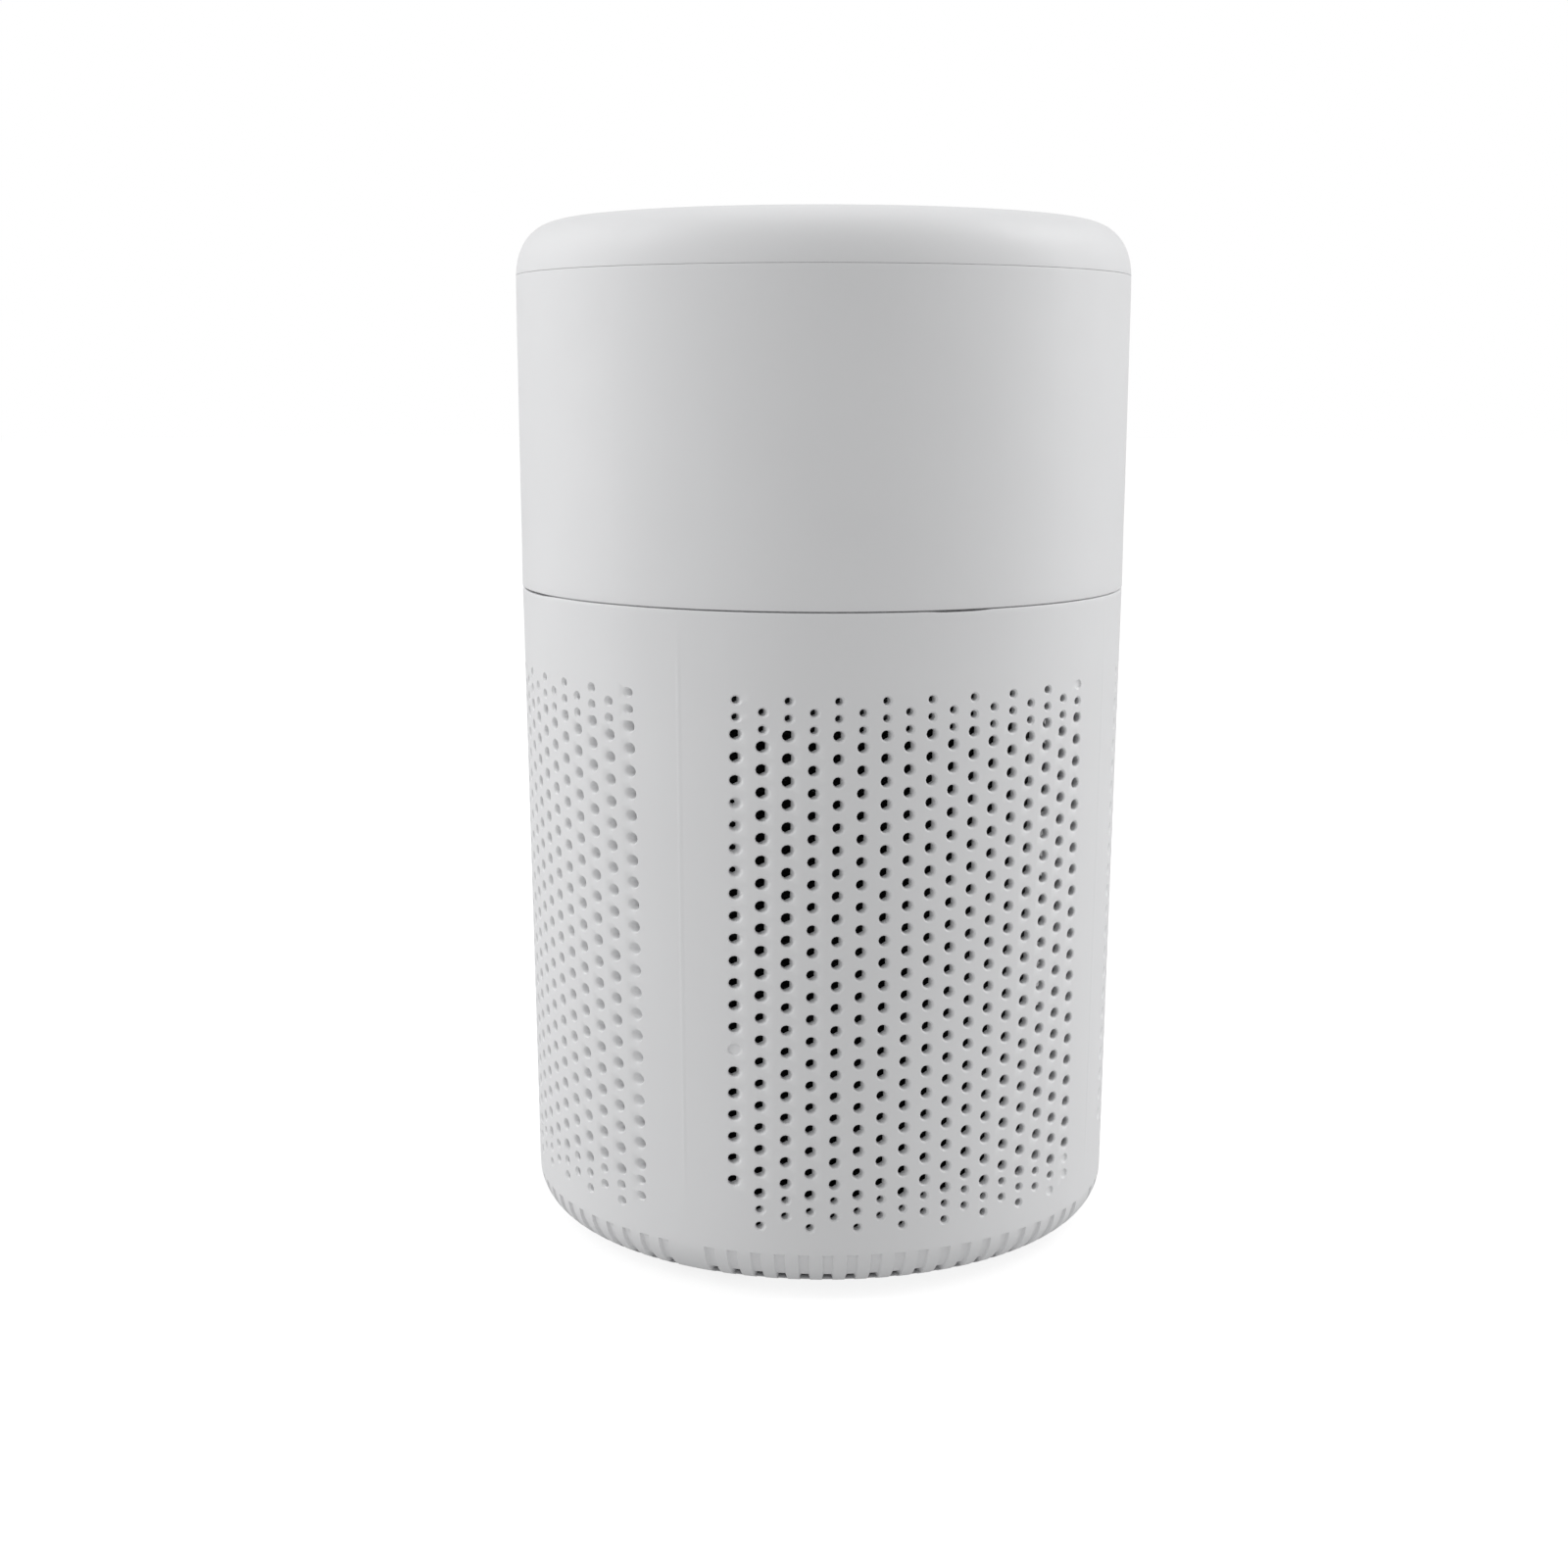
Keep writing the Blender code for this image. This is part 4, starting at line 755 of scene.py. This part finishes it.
def add_cell(faces, add, outer, inner, lines, top, panel, column, row, centre):
    """One grid cell of a column: a hole through the wall, a blind dimple, or plain wall."""
    middle = top + 1
    bottom = top + 2

    def boundary(grid):
        across = [grid[top][line] for line in lines]
        back = [grid[bottom][line] for line in reversed(lines)]
        return across + [grid[middle][lines[-1]]] + back + [grid[middle][lines[0]]]

    def plain(grid, ring_radius):
        z = LEVELS[middle]
        middles = [grid[middle][lines[0]]]
        for line in lines[1:-1]:
            middles.append(add(polar(ring_radius, station_angle(line, ring_radius), z)))
        middles.append(grid[middle][lines[-1]])
        for step in range(CELL_STEPS):
            near, far = lines[step], lines[step + 1]
            faces.append((grid[top][near], middles[step], middles[step + 1], grid[top][far]))
            faces.append((middles[step], grid[bottom][near], grid[bottom][far], middles[step + 1]))

    z = LEVELS[middle]
    key = (panel, column, row)
    if key in CLOSED:
        plain(outer, wall_radius(z))
        plain(inner, wall_radius(z) - PANEL_WALL)
        return
    small = row < SMALL_ROWS or row >= ROWS - SMALL_ROWS
    radius = SMALL_RADIUS if small else BIG_RADIUS + (WIDENING if key in WIDE else 0.0)

    def circle(size, sunk, sides=HOLE_SIDES, on_inner=False):
        points = []
        for side in range(sides):
            turn = HOLE_START - math.tau * side / sides
            across = centre + size * math.cos(turn)
            height = z + size * math.sin(turn)
            wall = wall_radius(height) - (PANEL_WALL if on_inner else 0.0)
            points.append(add(plane_point(panel, across, height, wall, sunk)))
        return points

    def bridge(first, second):
        for side in range(HOLE_SIDES):
            after = (side + 1) % HOLE_SIDES
            faces.append((first[side], first[after], second[after], second[side]))

    def bridge_to_half(full, half):
        """Join a ring to one with half as many vertices."""
        for side in range(len(half)):
            start, middle_corner, end = (full[(2 * side + step) % HOLE_SIDES] for step in range(3))
            after = half[(side + 1) % len(half)]
            faces.append((start, middle_corner, half[side]))
            faces.append((middle_corner, after, half[side]))
            faces.append((middle_corner, end, after))

    ring = boundary(outer)
    for wider, sunk in PLAIN_MOUTH if small or panel in (RIGHT, BACK) else MOUTH:
        inside = circle(radius + wider, sunk)
        bridge(ring, inside)
        ring = inside
    if key in DIMPLES:
        floor = circle(0.9 * radius, DIMPLE_DEPTH)
        bridge(ring, floor)
        faces.append(tuple(floor))
        plain(inner, wall_radius(z) - PANEL_WALL)
    else:
        exit_radius = radius - (NARROWING if key in NARROW else FLASH_NARROWING if key in FLASH else 0.0)
        exit_ring = circle(exit_radius, 0.0, HOLE_SIDES // 2, on_inner=True)
        bridge_to_half(ring, exit_ring)
        bridge_to_half(boundary(inner), exit_ring)


def groove_stations():
    """(angle, depth share) around the bottom edge: land, groove side, groove floor, groove side."""
    stations = []
    side = GROOVE_SIDE / LOWER_FOOT_RADIUS
    half = GROOVE_HALF_WIDTH / LOWER_FOOT_RADIUS
    for middle in spread(PANELS, -0.5 * math.pi):
        first = -0.5 * (GROOVES_PER_PANEL - 1) * GROOVE_ANGLE
        for groove in range(GROOVES_PER_PANEL):
            centre = middle + first + groove * GROOVE_ANGLE
            for offset, share in ((-half, 0.0), (side - half, 1.0), (half - side, 1.0), (half, 0.0)):
                stations.append((centre + offset, share))
        edge = middle - first
        gap = math.tau / PANELS + 2.0 * first
        for place in (0.35, 0.5, 0.65):
            stations.append((edge + gap * place, 0.0))
    stations.sort()
    return stations


COVER_OPENING_RADIUS = 0.5 * (cover_high[0] - cover_low[0]) + 0.4 * MM
LEDGE_RADIUS = COVER_OPENING_RADIUS - 1.6 * MM
LEDGE_BOTTOM_Z = SHELL_BOTTOM + 2.4 * MM
LEDGE_TOP_Z = SHELL_BOTTOM + 4.2 * MM


# ---- Upper housing and cap ----
def shoulder_points(steps):
    return superellipse(SHOULDER_RADIUS, SHOULDER_Z, SHOULDER_INSET, HEIGHT - SHOULDER_Z, SHOULDER_POWER,
                        steps)


def shoulder_radius(z):
    """Outer radius just above the start of the shoulder."""
    share = max(0.0, (z - SHOULDER_Z) / (HEIGHT - SHOULDER_Z))
    return SHOULDER_RADIUS - turned_in(share, SHOULDER_INSET, SHOULDER_POWER)


def make_upper_housing():
    bottom = MIDDLE_SEAM_Z + 0.5 * MIDDLE_SEAM_WIDTH
    top = TOP_SEAM_Z - 0.5 * TOP_SEAM_WIDTH
    inner = UPPER_FOOT_RADIUS - WALL
    rabbet = LOWER_TOP_RADIUS - 0.45 * MM
    band_z = bottom + 11.0 * MM
    band_half = 4.5 * MM
    band_sink = 0.035 * MM
    outline = soften([
        (rabbet, bottom, 0.1 * MM),
        (UPPER_FOOT_RADIUS, bottom, 0.26 * MM),
        (UPPER_FOOT_RADIUS + 0.01 * MM, bottom + 1.0 * MM, 0.0),
    ])[:-1]
    rows = 30
    for row in range(1, rows):
        z = bottom + (top - 1.0 * MM - bottom) * row / rows
        share = (z - bottom) / (SHOULDER_Z - bottom)
        radius = UPPER_FOOT_RADIUS + (SHOULDER_RADIUS - UPPER_FOOT_RADIUS) * min(1.0, share)
        sink = band_sink * math.exp(-((z - band_z) / band_half) ** 2)
        outline.append((radius - sink, z))
    outline += soften([
        (shoulder_radius(top), top - 1.0 * MM, 0.0),
        (shoulder_radius(top), top, 0.16 * MM),
        (inner, top, 0.2 * MM),
        (inner, bottom + 3.4 * MM, 0.0),
        (rabbet, bottom + 3.4 * MM, 0.0),
    ])
    housing = lathe("upper_housing_shell", outline, LATHE_STEPS, WHITE, slot="white_abs",
                    replaces="upper_housing")
    centre_z = 0.5 * (socket_low[2] + socket_high[2])
    hole_radius = 4.6 * MM
    outside = UPPER_FOOT_RADIUS + 0.2 * MM
    window = plug((0.0, outside, centre_z), 0.5 * math.pi, 8.0 * MM, hole_radius)
    dish = plug((0.0, outside - 0.1 * MM, centre_z), -0.5 * math.pi, 1.9 * MM, hole_radius - 0.5 * MM,
                hole_radius + 1.4 * MM)
    cut(housing, [window, dish])


def make_top_cap():
    bottom = TOP_SEAM_Z + 0.5 * TOP_SEAM_WIDTH
    shoulder = [point for point in shoulder_points(40) if point[1] > bottom + 0.35 * MM]
    skirt_outer = UPPER_FOOT_RADIUS - WALL - 0.6 * MM
    skirt_inner = skirt_outer - 1.6 * MM
    opening = CAP_OPENING_RADIUS
    outline = [(skirt_outer, cap_low[2]), (skirt_outer, bottom + 0.5 * MM)]
    lip = shoulder_radius(bottom) - 0.9 * MM
    outline += [(lip, bottom + 0.5 * MM), (lip, bottom)]
    outline += soften([
        (shoulder_radius(bottom) - 0.8 * MM, bottom, 0.0),
        (shoulder_radius(bottom), bottom, 0.07 * MM),
        (shoulder_radius(bottom + 0.6 * MM), bottom + 0.6 * MM, 0.0),
    ])[1:-1]
    outline += shoulder
    outline += soften([
        (shoulder[-1][0] - 0.2 * MM, HEIGHT, 0.0),
        (opening, HEIGHT, 0.9 * MM),
        (opening, grille_high[2] + 0.2 * MM, 0.2 * MM),
        (opening + 3.2 * MM, grille_high[2] + 0.2 * MM, 0.0),
        (skirt_inner, grille_low[2] - 1.4 * MM, 0.0),
        (skirt_inner, cap_low[2], 0.0),
    ])
    lathe("cap_shell", outline, LATHE_STEPS, WHITE, slot="white_abs", replaces="top_cap")


# ---- Outlet grille and controls ----
CAP_OPENING_RADIUS = 44.6 * MM
GRILLE_VANES = 54
VANE_SWEEP = math.radians(24.0)


def make_grille():
    """Dark ring of swept vanes between a hub ring and a rim, tied by two thin rings."""
    top = grille_high[2]
    low = grille_low[2]
    inner = 26.0 * MM
    rim = grille_high[0]
    hub_edge = inner + 2.2 * MM
    rim_edge = CAP_OPENING_RADIUS - 1.6 * MM
    verts = []
    faces = []
    soft = 0.3 * MM
    lathe_data(soften([(inner, low, 0.0), (hub_edge, low, 0.0), (hub_edge, top, soft), (inner, top, soft)]),
               LATHE_STEPS, verts, faces)
    lathe_data(soften([(rim_edge, low, 0.0), (rim, low, 0.0), (rim, top, soft), (rim_edge, top, soft)]),
               LATHE_STEPS, verts, faces)
    tie_radii = (33.2 * MM, 38.1 * MM)
    half = 0.5 * MM
    for radius in tie_radii:
        lathe_data(soften([(radius - half, low + 0.2 * MM, 0.0), (radius + half, low + 0.2 * MM, 0.0),
                           (radius + half, top - 0.5 * MM, 0.25 * MM),
                           (radius - half, top - 0.5 * MM, 0.25 * MM)], 3), LATHE_STEPS, verts, faces)
    for start in spread(GRILLE_VANES):
        add_vane(verts, faces, start, hub_edge - 0.6 * MM, rim_edge + 0.6 * MM, low + 0.1 * MM,
                 top - 0.25 * MM)
    add_piece("swept_grille", verts, faces, GREY, slot="grey_abs", replaces="outlet_grille")


def add_vane(verts, faces, start, inner, outer, low, high):
    """One swept vane with a rounded top edge."""
    steps = 8
    half = 0.45 * MM
    crown = [(-half, low), (-half, high - 0.35 * MM), (-0.7 * half, high - 0.1 * MM), (0.0, high),
             (0.7 * half, high - 0.1 * MM), (half, high - 0.35 * MM), (half, low)]
    rings = []
    for index in range(steps + 1):
        share = index / steps
        radius = inner + (outer - inner) * share
        angle = start + VANE_SWEEP * share ** 1.4
        ring = []
        for across, z in crown:
            ring.append(len(verts))
            verts.append(polar(radius, angle + across / radius, z))
        rings.append(ring)
    count = len(crown)
    for here, there in zip(rings, rings[1:]):
        for corner in range(count):
            after = (corner + 1) % count
            faces.append((here[corner], there[corner], there[after], here[after]))
    faces.append(tuple(rings[0]))
    faces.append(tuple(reversed(rings[-1])))


def make_controls():
    top = panel_high[2]
    low = panel_low[2]
    radius = panel_high[0]
    hole = power_high[0] + 0.4 * MM
    underside = top - 2.0 * MM
    outline = soften([
        (hole, underside, 0.0),
        (radius - 1.6 * MM, underside, 0.0),
        (radius - 1.6 * MM, low, 0.0),
        (radius, low, 0.0),
        (radius, top, 0.5 * MM),
        (hole, top, 0.35 * MM),
    ])
    panel = lathe("control_disc", outline, SMALL_LATHE_STEPS, WHITE, slot="white_abs",
                  replaces="control_panel")
    light_y = 0.5 * (light_low[1] + light_high[1])
    light_radius = 0.5 * (light_high[0] - light_low[0])
    cutters = [plug((0.0, light_y, top), 0.0, 8.0 * MM, light_radius + 0.35 * MM, segments=64)]
    lens_circle = 17.0 * MM
    lens_places = [polar(lens_circle, math.radians(degrees), 0.0) for degrees in (70.0, 90.0, 110.0)]
    cutters += [plug((place.x, place.y, top), 0.0, 8.0 * MM, 0.9 * MM, segments=24) for place in lens_places]
    cut(panel, cutters)
    for index, place in enumerate(lens_places, start=1):
        lens = soften([(0.0, top - 1.6 * MM, 0.0), (0.8 * MM, top - 1.6 * MM, 0.0),
                       (0.8 * MM, top + 0.05 * MM, 0.2 * MM), (0.0, top + 0.12 * MM, 0.0)])
        piece = lathe(f"speed_lens_{index}", lens, 24, DIFFUSER, closed=False, slot="diffuser")
        piece.data.transform(Matrix.Translation(place))

    halo = soften([(ring_high[0] - 1.8 * MM, ring_low[2], 0.0), (ring_high[0], ring_low[2], 0.0),
                   (ring_high[0], ring_high[2] - 0.1 * MM, 0.7 * MM),
                   (ring_high[0] - 1.8 * MM, ring_high[2] - 0.1 * MM, 0.4 * MM)])
    lathe("halo_ring", halo, LATHE_STEPS, DIFFUSER, slot="diffuser", replaces="light_ring")

    make_button("power_key", power_low, power_high, "power_button", 0.0)
    make_button("light_key", light_low, light_high, "light_button", light_y)
    add_power_icon(power_high[2])
    add_moon_icon(light_high[2], light_y)


def make_button(name, low, high, node, y):
    """Button cap with a shallow dish on top, over its stem."""
    radius = 0.5 * (high[0] - low[0])
    top = high[2]
    stem = 2.0 * MM
    collar = top - 2.8 * MM
    outline = soften([
        (0.0, low[2], 0.0),
        (stem, low[2], 0.0),
        (stem, collar, 0.0),
        (radius, collar, 0.0),
        (radius, top, 0.55 * MM),
        (0.72 * radius, top, 0.8 * MM),
        (0.5 * radius, top - 0.03 * radius, 1.5 * MM),
        (0.0, top - 0.035 * radius, 0.0),
    ])
    piece = lathe(name, outline, SMALL_LATHE_STEPS, WHITE, closed=False, body=node, slot="white_abs",
                  replaces=node)
    piece.data.transform(Matrix.Translation((0.0, y, 0.0)))


def flat_shape(name, outline, z, thickness, body):
    """Thin raised mark with a flat top."""
    bm = prism([(x, y, z) for x, y in outline], thickness)
    finish_piece(name, mesh_of(bm, name), MARK, body)


def add_power_icon(top):
    """Plain power mark: an open ring and a bar, standing just proud of the dish."""
    z = top - 0.40 * MM
    thickness = 0.30 * MM
    outer = 2.3 * MM
    inner = 1.85 * MM
    gap = math.radians(38.0)
    steps = 32
    angles = [0.5 * math.pi + gap + (math.tau - 2.0 * gap) * step / steps for step in range(steps + 1)]
    outline = [(outer * math.cos(a), outer * math.sin(a)) for a in angles]
    outline += [(inner * math.cos(a), inner * math.sin(a)) for a in reversed(angles)]
    flat_shape("power_mark_ring", outline, z, thickness, "power_button")
    bar = [(-0.22 * MM, 0.5 * MM), (0.22 * MM, 0.5 * MM), (0.22 * MM, 2.7 * MM), (-0.22 * MM, 2.7 * MM)]
    flat_shape("power_mark_bar", bar, z, thickness, "power_button")


def add_moon_icon(top, y):
    """Crescent mark for the night light."""
    z = top - 0.28 * MM
    radius = 1.15 * MM
    offset = 0.55 * MM
    steps = 20
    reach = math.acos(offset / (2.0 * radius))
    far = [(math.pi - reach) * (2.0 * step / steps - 1.0) + math.pi for step in range(steps + 1)]
    near = [reach * (2.0 * step / steps - 1.0) + math.pi for step in range(steps + 1)]
    outline = [(radius * math.cos(a), y + radius * math.sin(a)) for a in far]
    outline += [(offset + radius * math.cos(a), y + radius * math.sin(a)) for a in reversed(near)][1:-1]
    flat_shape("night_mark", outline, z, 0.26 * MM, "light_button")


# ---- Back socket, bottom cover and feet ----
def make_socket():
    """Barrel socket: round face with a chamfered bore and its pin, pointing along +Y."""
    face_y = socket_high[1]
    back_y = socket_low[1]
    centre_z = 0.5 * (socket_low[2] + socket_high[2])
    barrel = 4.3 * MM
    bore = 2.9 * MM
    depth = 8.5 * MM
    body = bmesh.new()
    size = (socket_high[0] - socket_low[0], 9.0 * MM, socket_high[2] - socket_low[2])
    place = Matrix.Translation((0.0, back_y + 0.5 * size[1], centre_z)) @ Matrix.Diagonal((*size, 1.0))
    bmesh.ops.create_cube(body, size=1.0, matrix=place)
    bmesh.ops.bevel(body, geom=body.edges[:], offset=0.4 * MM, segments=2, affect="EDGES")
    block = finish_piece("socket_body", mesh_of(body, "socket_body"), BLACK,
                         replaces="power_socket")
    outline = soften([
        (bore, -depth, 0.0),
        (bore, 0.0, 0.35 * MM),
        (barrel, 0.0, 0.3 * MM),
        (barrel, -4.0 * MM, 0.0),
        (barrel - 0.6 * MM, -depth - 0.8 * MM, 0.0),
        (0.0, -depth - 0.8 * MM, 0.0),
        (0.0, -depth, 0.0),
    ])
    ring = lathe("socket_barrel", outline, 48, BLACK, closed=False, slot="black_abs")
    pin = lathe("socket_pin", soften([(0.0, -depth - 0.1 * MM, 0.0), (1.0 * MM, -depth - 0.1 * MM, 0.0),
                                      (1.0 * MM, -1.0 * MM, 0.4 * MM), (0.0, -0.8 * MM, 0.0)]), 24, STEEL,
                closed=False, slot="steel")
    turn = Matrix.Translation((0.0, face_y, centre_z)) @ Matrix.Rotation(-0.5 * math.pi, 4, "X")
    for piece in (ring, pin):
        piece.data.transform(turn)
    well = plug((0.0, face_y - depth + 14.2 * MM, centre_z), 0.5 * math.pi, 30.0 * MM, barrel + 0.05 * MM)
    cut(block, [well])


def make_bottom_cover():
    bottom = cover_low[2]
    edge = 0.5 * (cover_high[0] - cover_low[0])
    disc_top = LEDGE_BOTTOM_Z - 0.3 * MM
    neck = LEDGE_RADIUS - 0.4 * MM
    recess = 17.0 * MM
    recess_depth = 3.4 * MM
    roof = bottom + recess_depth + 1.6 * MM
    outline = soften([
        (0.0, bottom, 0.0),
        (edge, bottom, 0.45 * MM),
        (edge, disc_top, 0.0),
        (neck, disc_top, 0.0),
        (neck, cover_high[2], 0.0),
        (neck - 1.8 * MM, cover_high[2], 0.0),
        (neck - 1.8 * MM, disc_top, 0.0),
        (recess + 1.8 * MM, disc_top, 0.0),
        (recess + 1.8 * MM, roof, 0.0),
        (0.0, roof, 0.0),
    ])
    cover = lathe("twist_cover", outline, LATHE_STEPS, WHITE, closed=False, body="bottom_cover",
                  slot="white_abs", replaces="bottom_cover")
    cutters = []
    for side in (1.0, -1.0):
        half_width = 3.0 * MM
        reach = math.acos(half_width / recess)
        start = math.copysign(0.5 * math.pi, side) - reach
        steps = 40
        angles = [start + 2.0 * reach * step / steps for step in range(steps + 1)]
        bm = prism([polar(recess, a, bottom - 1.0 * MM) for a in angles], recess_depth + 1.0 * MM)
        bmesh.ops.bevel(bm, geom=[e for e in bm.edges if min(v.co.z for v in e.verts) > bottom + 1.0 * MM],
                        offset=0.8 * MM, segments=4, affect="EDGES")
        cutters.append(mesh_of(bm))
    for ring_radius in (24.0 * MM, 38.5 * MM):
        bm = bmesh.new()
        verts = []
        faces = []
        lathe_data([(ring_radius - 0.4 * MM, bottom - 0.5 * MM), (ring_radius + 0.4 * MM, bottom - 0.5 * MM),
                    (ring_radius, bottom + 0.4 * MM)], LATHE_STEPS, verts, faces)
        mesh = bpy.data.meshes.new("groove")
        mesh.from_pydata([tuple(v) for v in verts], [], faces)
        bm.from_mesh(mesh)
        bpy.data.meshes.remove(mesh)
        cutters.append(mesh_of(bm))
    cut(cover, cutters)
    for index, angle in enumerate(spread(4, math.radians(45.0)), start=1):
        bm = prism(arrow_outline(angle, bottom - 0.15 * MM), 0.3 * MM)
        finish_piece(f"turn_arrow_{index}", mesh_of(bm), WHITE, "bottom_cover")


def arrow_outline(middle, z):
    """Curved arrow that shows which way the cover turns."""
    radius = 31.0 * MM
    half = 0.6 * MM
    head_half = 1.7 * MM
    head_length = 2.6 * MM
    sweep = math.radians(16.0)
    steps = 12
    angles = [middle + sweep * (step / steps - 0.5) for step in range(steps + 1)]
    tip = middle + 0.5 * sweep
    head = [polar(radius + head_half, tip, z), polar(radius, tip + head_length / radius, z),
            polar(radius - head_half, tip, z)]
    return ([polar(radius + half, a, z) for a in angles] + head
            + [polar(radius - half, a, z) for a in reversed(angles)])


def make_feet():
    inner = 44.2 * MM
    outer = 46.2 * MM
    half_angle = math.radians(9.0)
    steps = 24
    for index, middle in enumerate(spread(4, math.radians(45.0)), start=1):
        angles = [middle + half_angle * (2.0 * step / steps - 1.0) for step in range(steps + 1)]
        outline = [polar(outer, a, foot_low[2]) for a in angles]
        outline += [polar(inner, a, foot_low[2]) for a in reversed(angles)]
        bm = prism(outline, SHELL_BOTTOM - foot_low[2] - 0.02 * MM)
        rims = [e for e in bm.edges if max(v.co.z for v in e.verts) < foot_low[2] + 0.1 * MM]
        bmesh.ops.bevel(bm, geom=rims, offset=0.25 * MM, segments=3, affect="EDGES")
        finish_piece(f"rubber_foot_{index}", mesh_of(bm), RUBBER, replaces=f"foot_{index}")


# ---- Floor and light ----
FLOOR_GLOW = 0.255               # light that the table gives the purifier
FLOOR_WHITENESS = 0.80           # glow that the camera sees, so that the table is pale out to the horizon


def camera_switch(nodes, links, others, camera):
    """Shader output that shows the camera one shader and all other rays another."""
    mix = nodes.new("ShaderNodeMixShader")
    path = nodes.new("ShaderNodeLightPath")
    links.new(path.outputs["Is Camera Ray"], mix.inputs["Fac"])
    links.new(others, mix.inputs[1])
    links.new(camera, mix.inputs[2])
    return mix.outputs["Shader"]


def make_floor():
    """Light table: a pale floor that glows."""
    bm = bmesh.new()
    bmesh.ops.create_circle(bm, cap_ends=True, segments=96, radius=6.0)
    mesh = mesh_of(bm, "floor")
    paint = (0.30, 0.30, 0.30)
    gloss = 0.7
    surface = Surface("floor_paint", paint, gloss)
    plain = {"Base Color": (*paint, 1.0), "Roughness": gloss, "Specular IOR Level": 0.2,
             "Emission Color": (1.0, 1.0, 1.0, 1.0)}
    surface.set({**plain, "Emission Strength": FLOOR_GLOW})
    surface.tint(surface.noise(2.0, 2.0), 0.995, 1.0)
    seen = surface.nodes.new("ShaderNodeBsdfPrincipled")
    fill(seen, {**plain, "Emission Strength": FLOOR_WHITENESS})
    shader = camera_switch(surface.nodes, surface.links, surface.shader.outputs["BSDF"], seen.outputs["BSDF"])
    surface.links.new(shader, surface.nodes["Material Output"].inputs["Surface"])
    mesh.materials.append(surface.material)
    floor = bpy.data.objects.new("floor", mesh)
    bpy.context.scene.collection.objects.link(floor)


def add_softbox(name, place, size, power, aim=(0.0, 0.0, 0.10)):
    data = bpy.data.lights.new(name, "AREA")
    data.shape = "RECTANGLE"
    data.size, data.size_y = size
    data.energy = power
    light = bpy.data.objects.new(name, data)
    bpy.context.scene.collection.objects.link(light)
    light.location = place
    light.rotation_euler = (Vector(aim) - Vector(place)).to_track_quat("-Z", "Y").to_euler()


def around_camera(side, away, z):
    """Place in the camera's own directions: to its right, away from it and up."""
    return tuple(Matrix.Rotation(CAMERA_TURN, 3, "Z") @ Vector((side, away, z)))


WORLD_STRENGTH = 0.59

# Softboxes, as (name, place beside, beyond and above in the camera's directions, size, power)
SOFTBOXES = (
    ("left_softbox", (-1.1, 0.35, 0.55), (1.1, 1.3), 3.4),
    ("right_softbox", (1.1, 0.35, 0.55), (1.1, 1.3), 1.9),
    ("left_strip", (-1.2, -0.1, 0.45), (0.5, 1.2), 2.95),
    ("right_strip", (1.2, 0.1, 0.45), (0.5, 1.2), 2.55),
    ("top_softbox", (0.0, 0.25, 1.3), (1.4, 1.0), 1.1),
    ("high_left_softbox", (-0.9, -0.1, 1.0), (0.6, 0.6), 1.85),
    ("high_right_softbox", (0.9, 0.1, 1.0), (0.6, 0.6), 3.2),
)


def make_lights():
    for name, place, size, power in SOFTBOXES:
        add_softbox(name, around_camera(*place), size, power)
    world = bpy.data.worlds.new("studio")
    world.use_nodes = True
    nodes = world.node_tree.nodes
    links = world.node_tree.links
    backdrop = nodes.new("ShaderNodeBackground")
    for background, strength in ((nodes["Background"], WORLD_STRENGTH), (backdrop, 1.0)):
        fill(background, {"Color": (1.0, 1.0, 1.0, 1.0), "Strength": strength})
    shader = camera_switch(nodes, links, nodes["Background"].outputs["Background"],
                           backdrop.outputs["Background"])
    links.new(shader, nodes["World Output"].inputs["Surface"])
    bpy.context.scene.world = world
    bpy.context.scene.view_settings.view_transform = "Standard"


dress_cad_nodes()
make_lower_shell()
make_notch_shade_ring()
make_upper_housing()
make_top_cap()
make_grille()
make_controls()
make_socket()
make_bottom_cover()
make_feet()
make_floor()
make_lights()
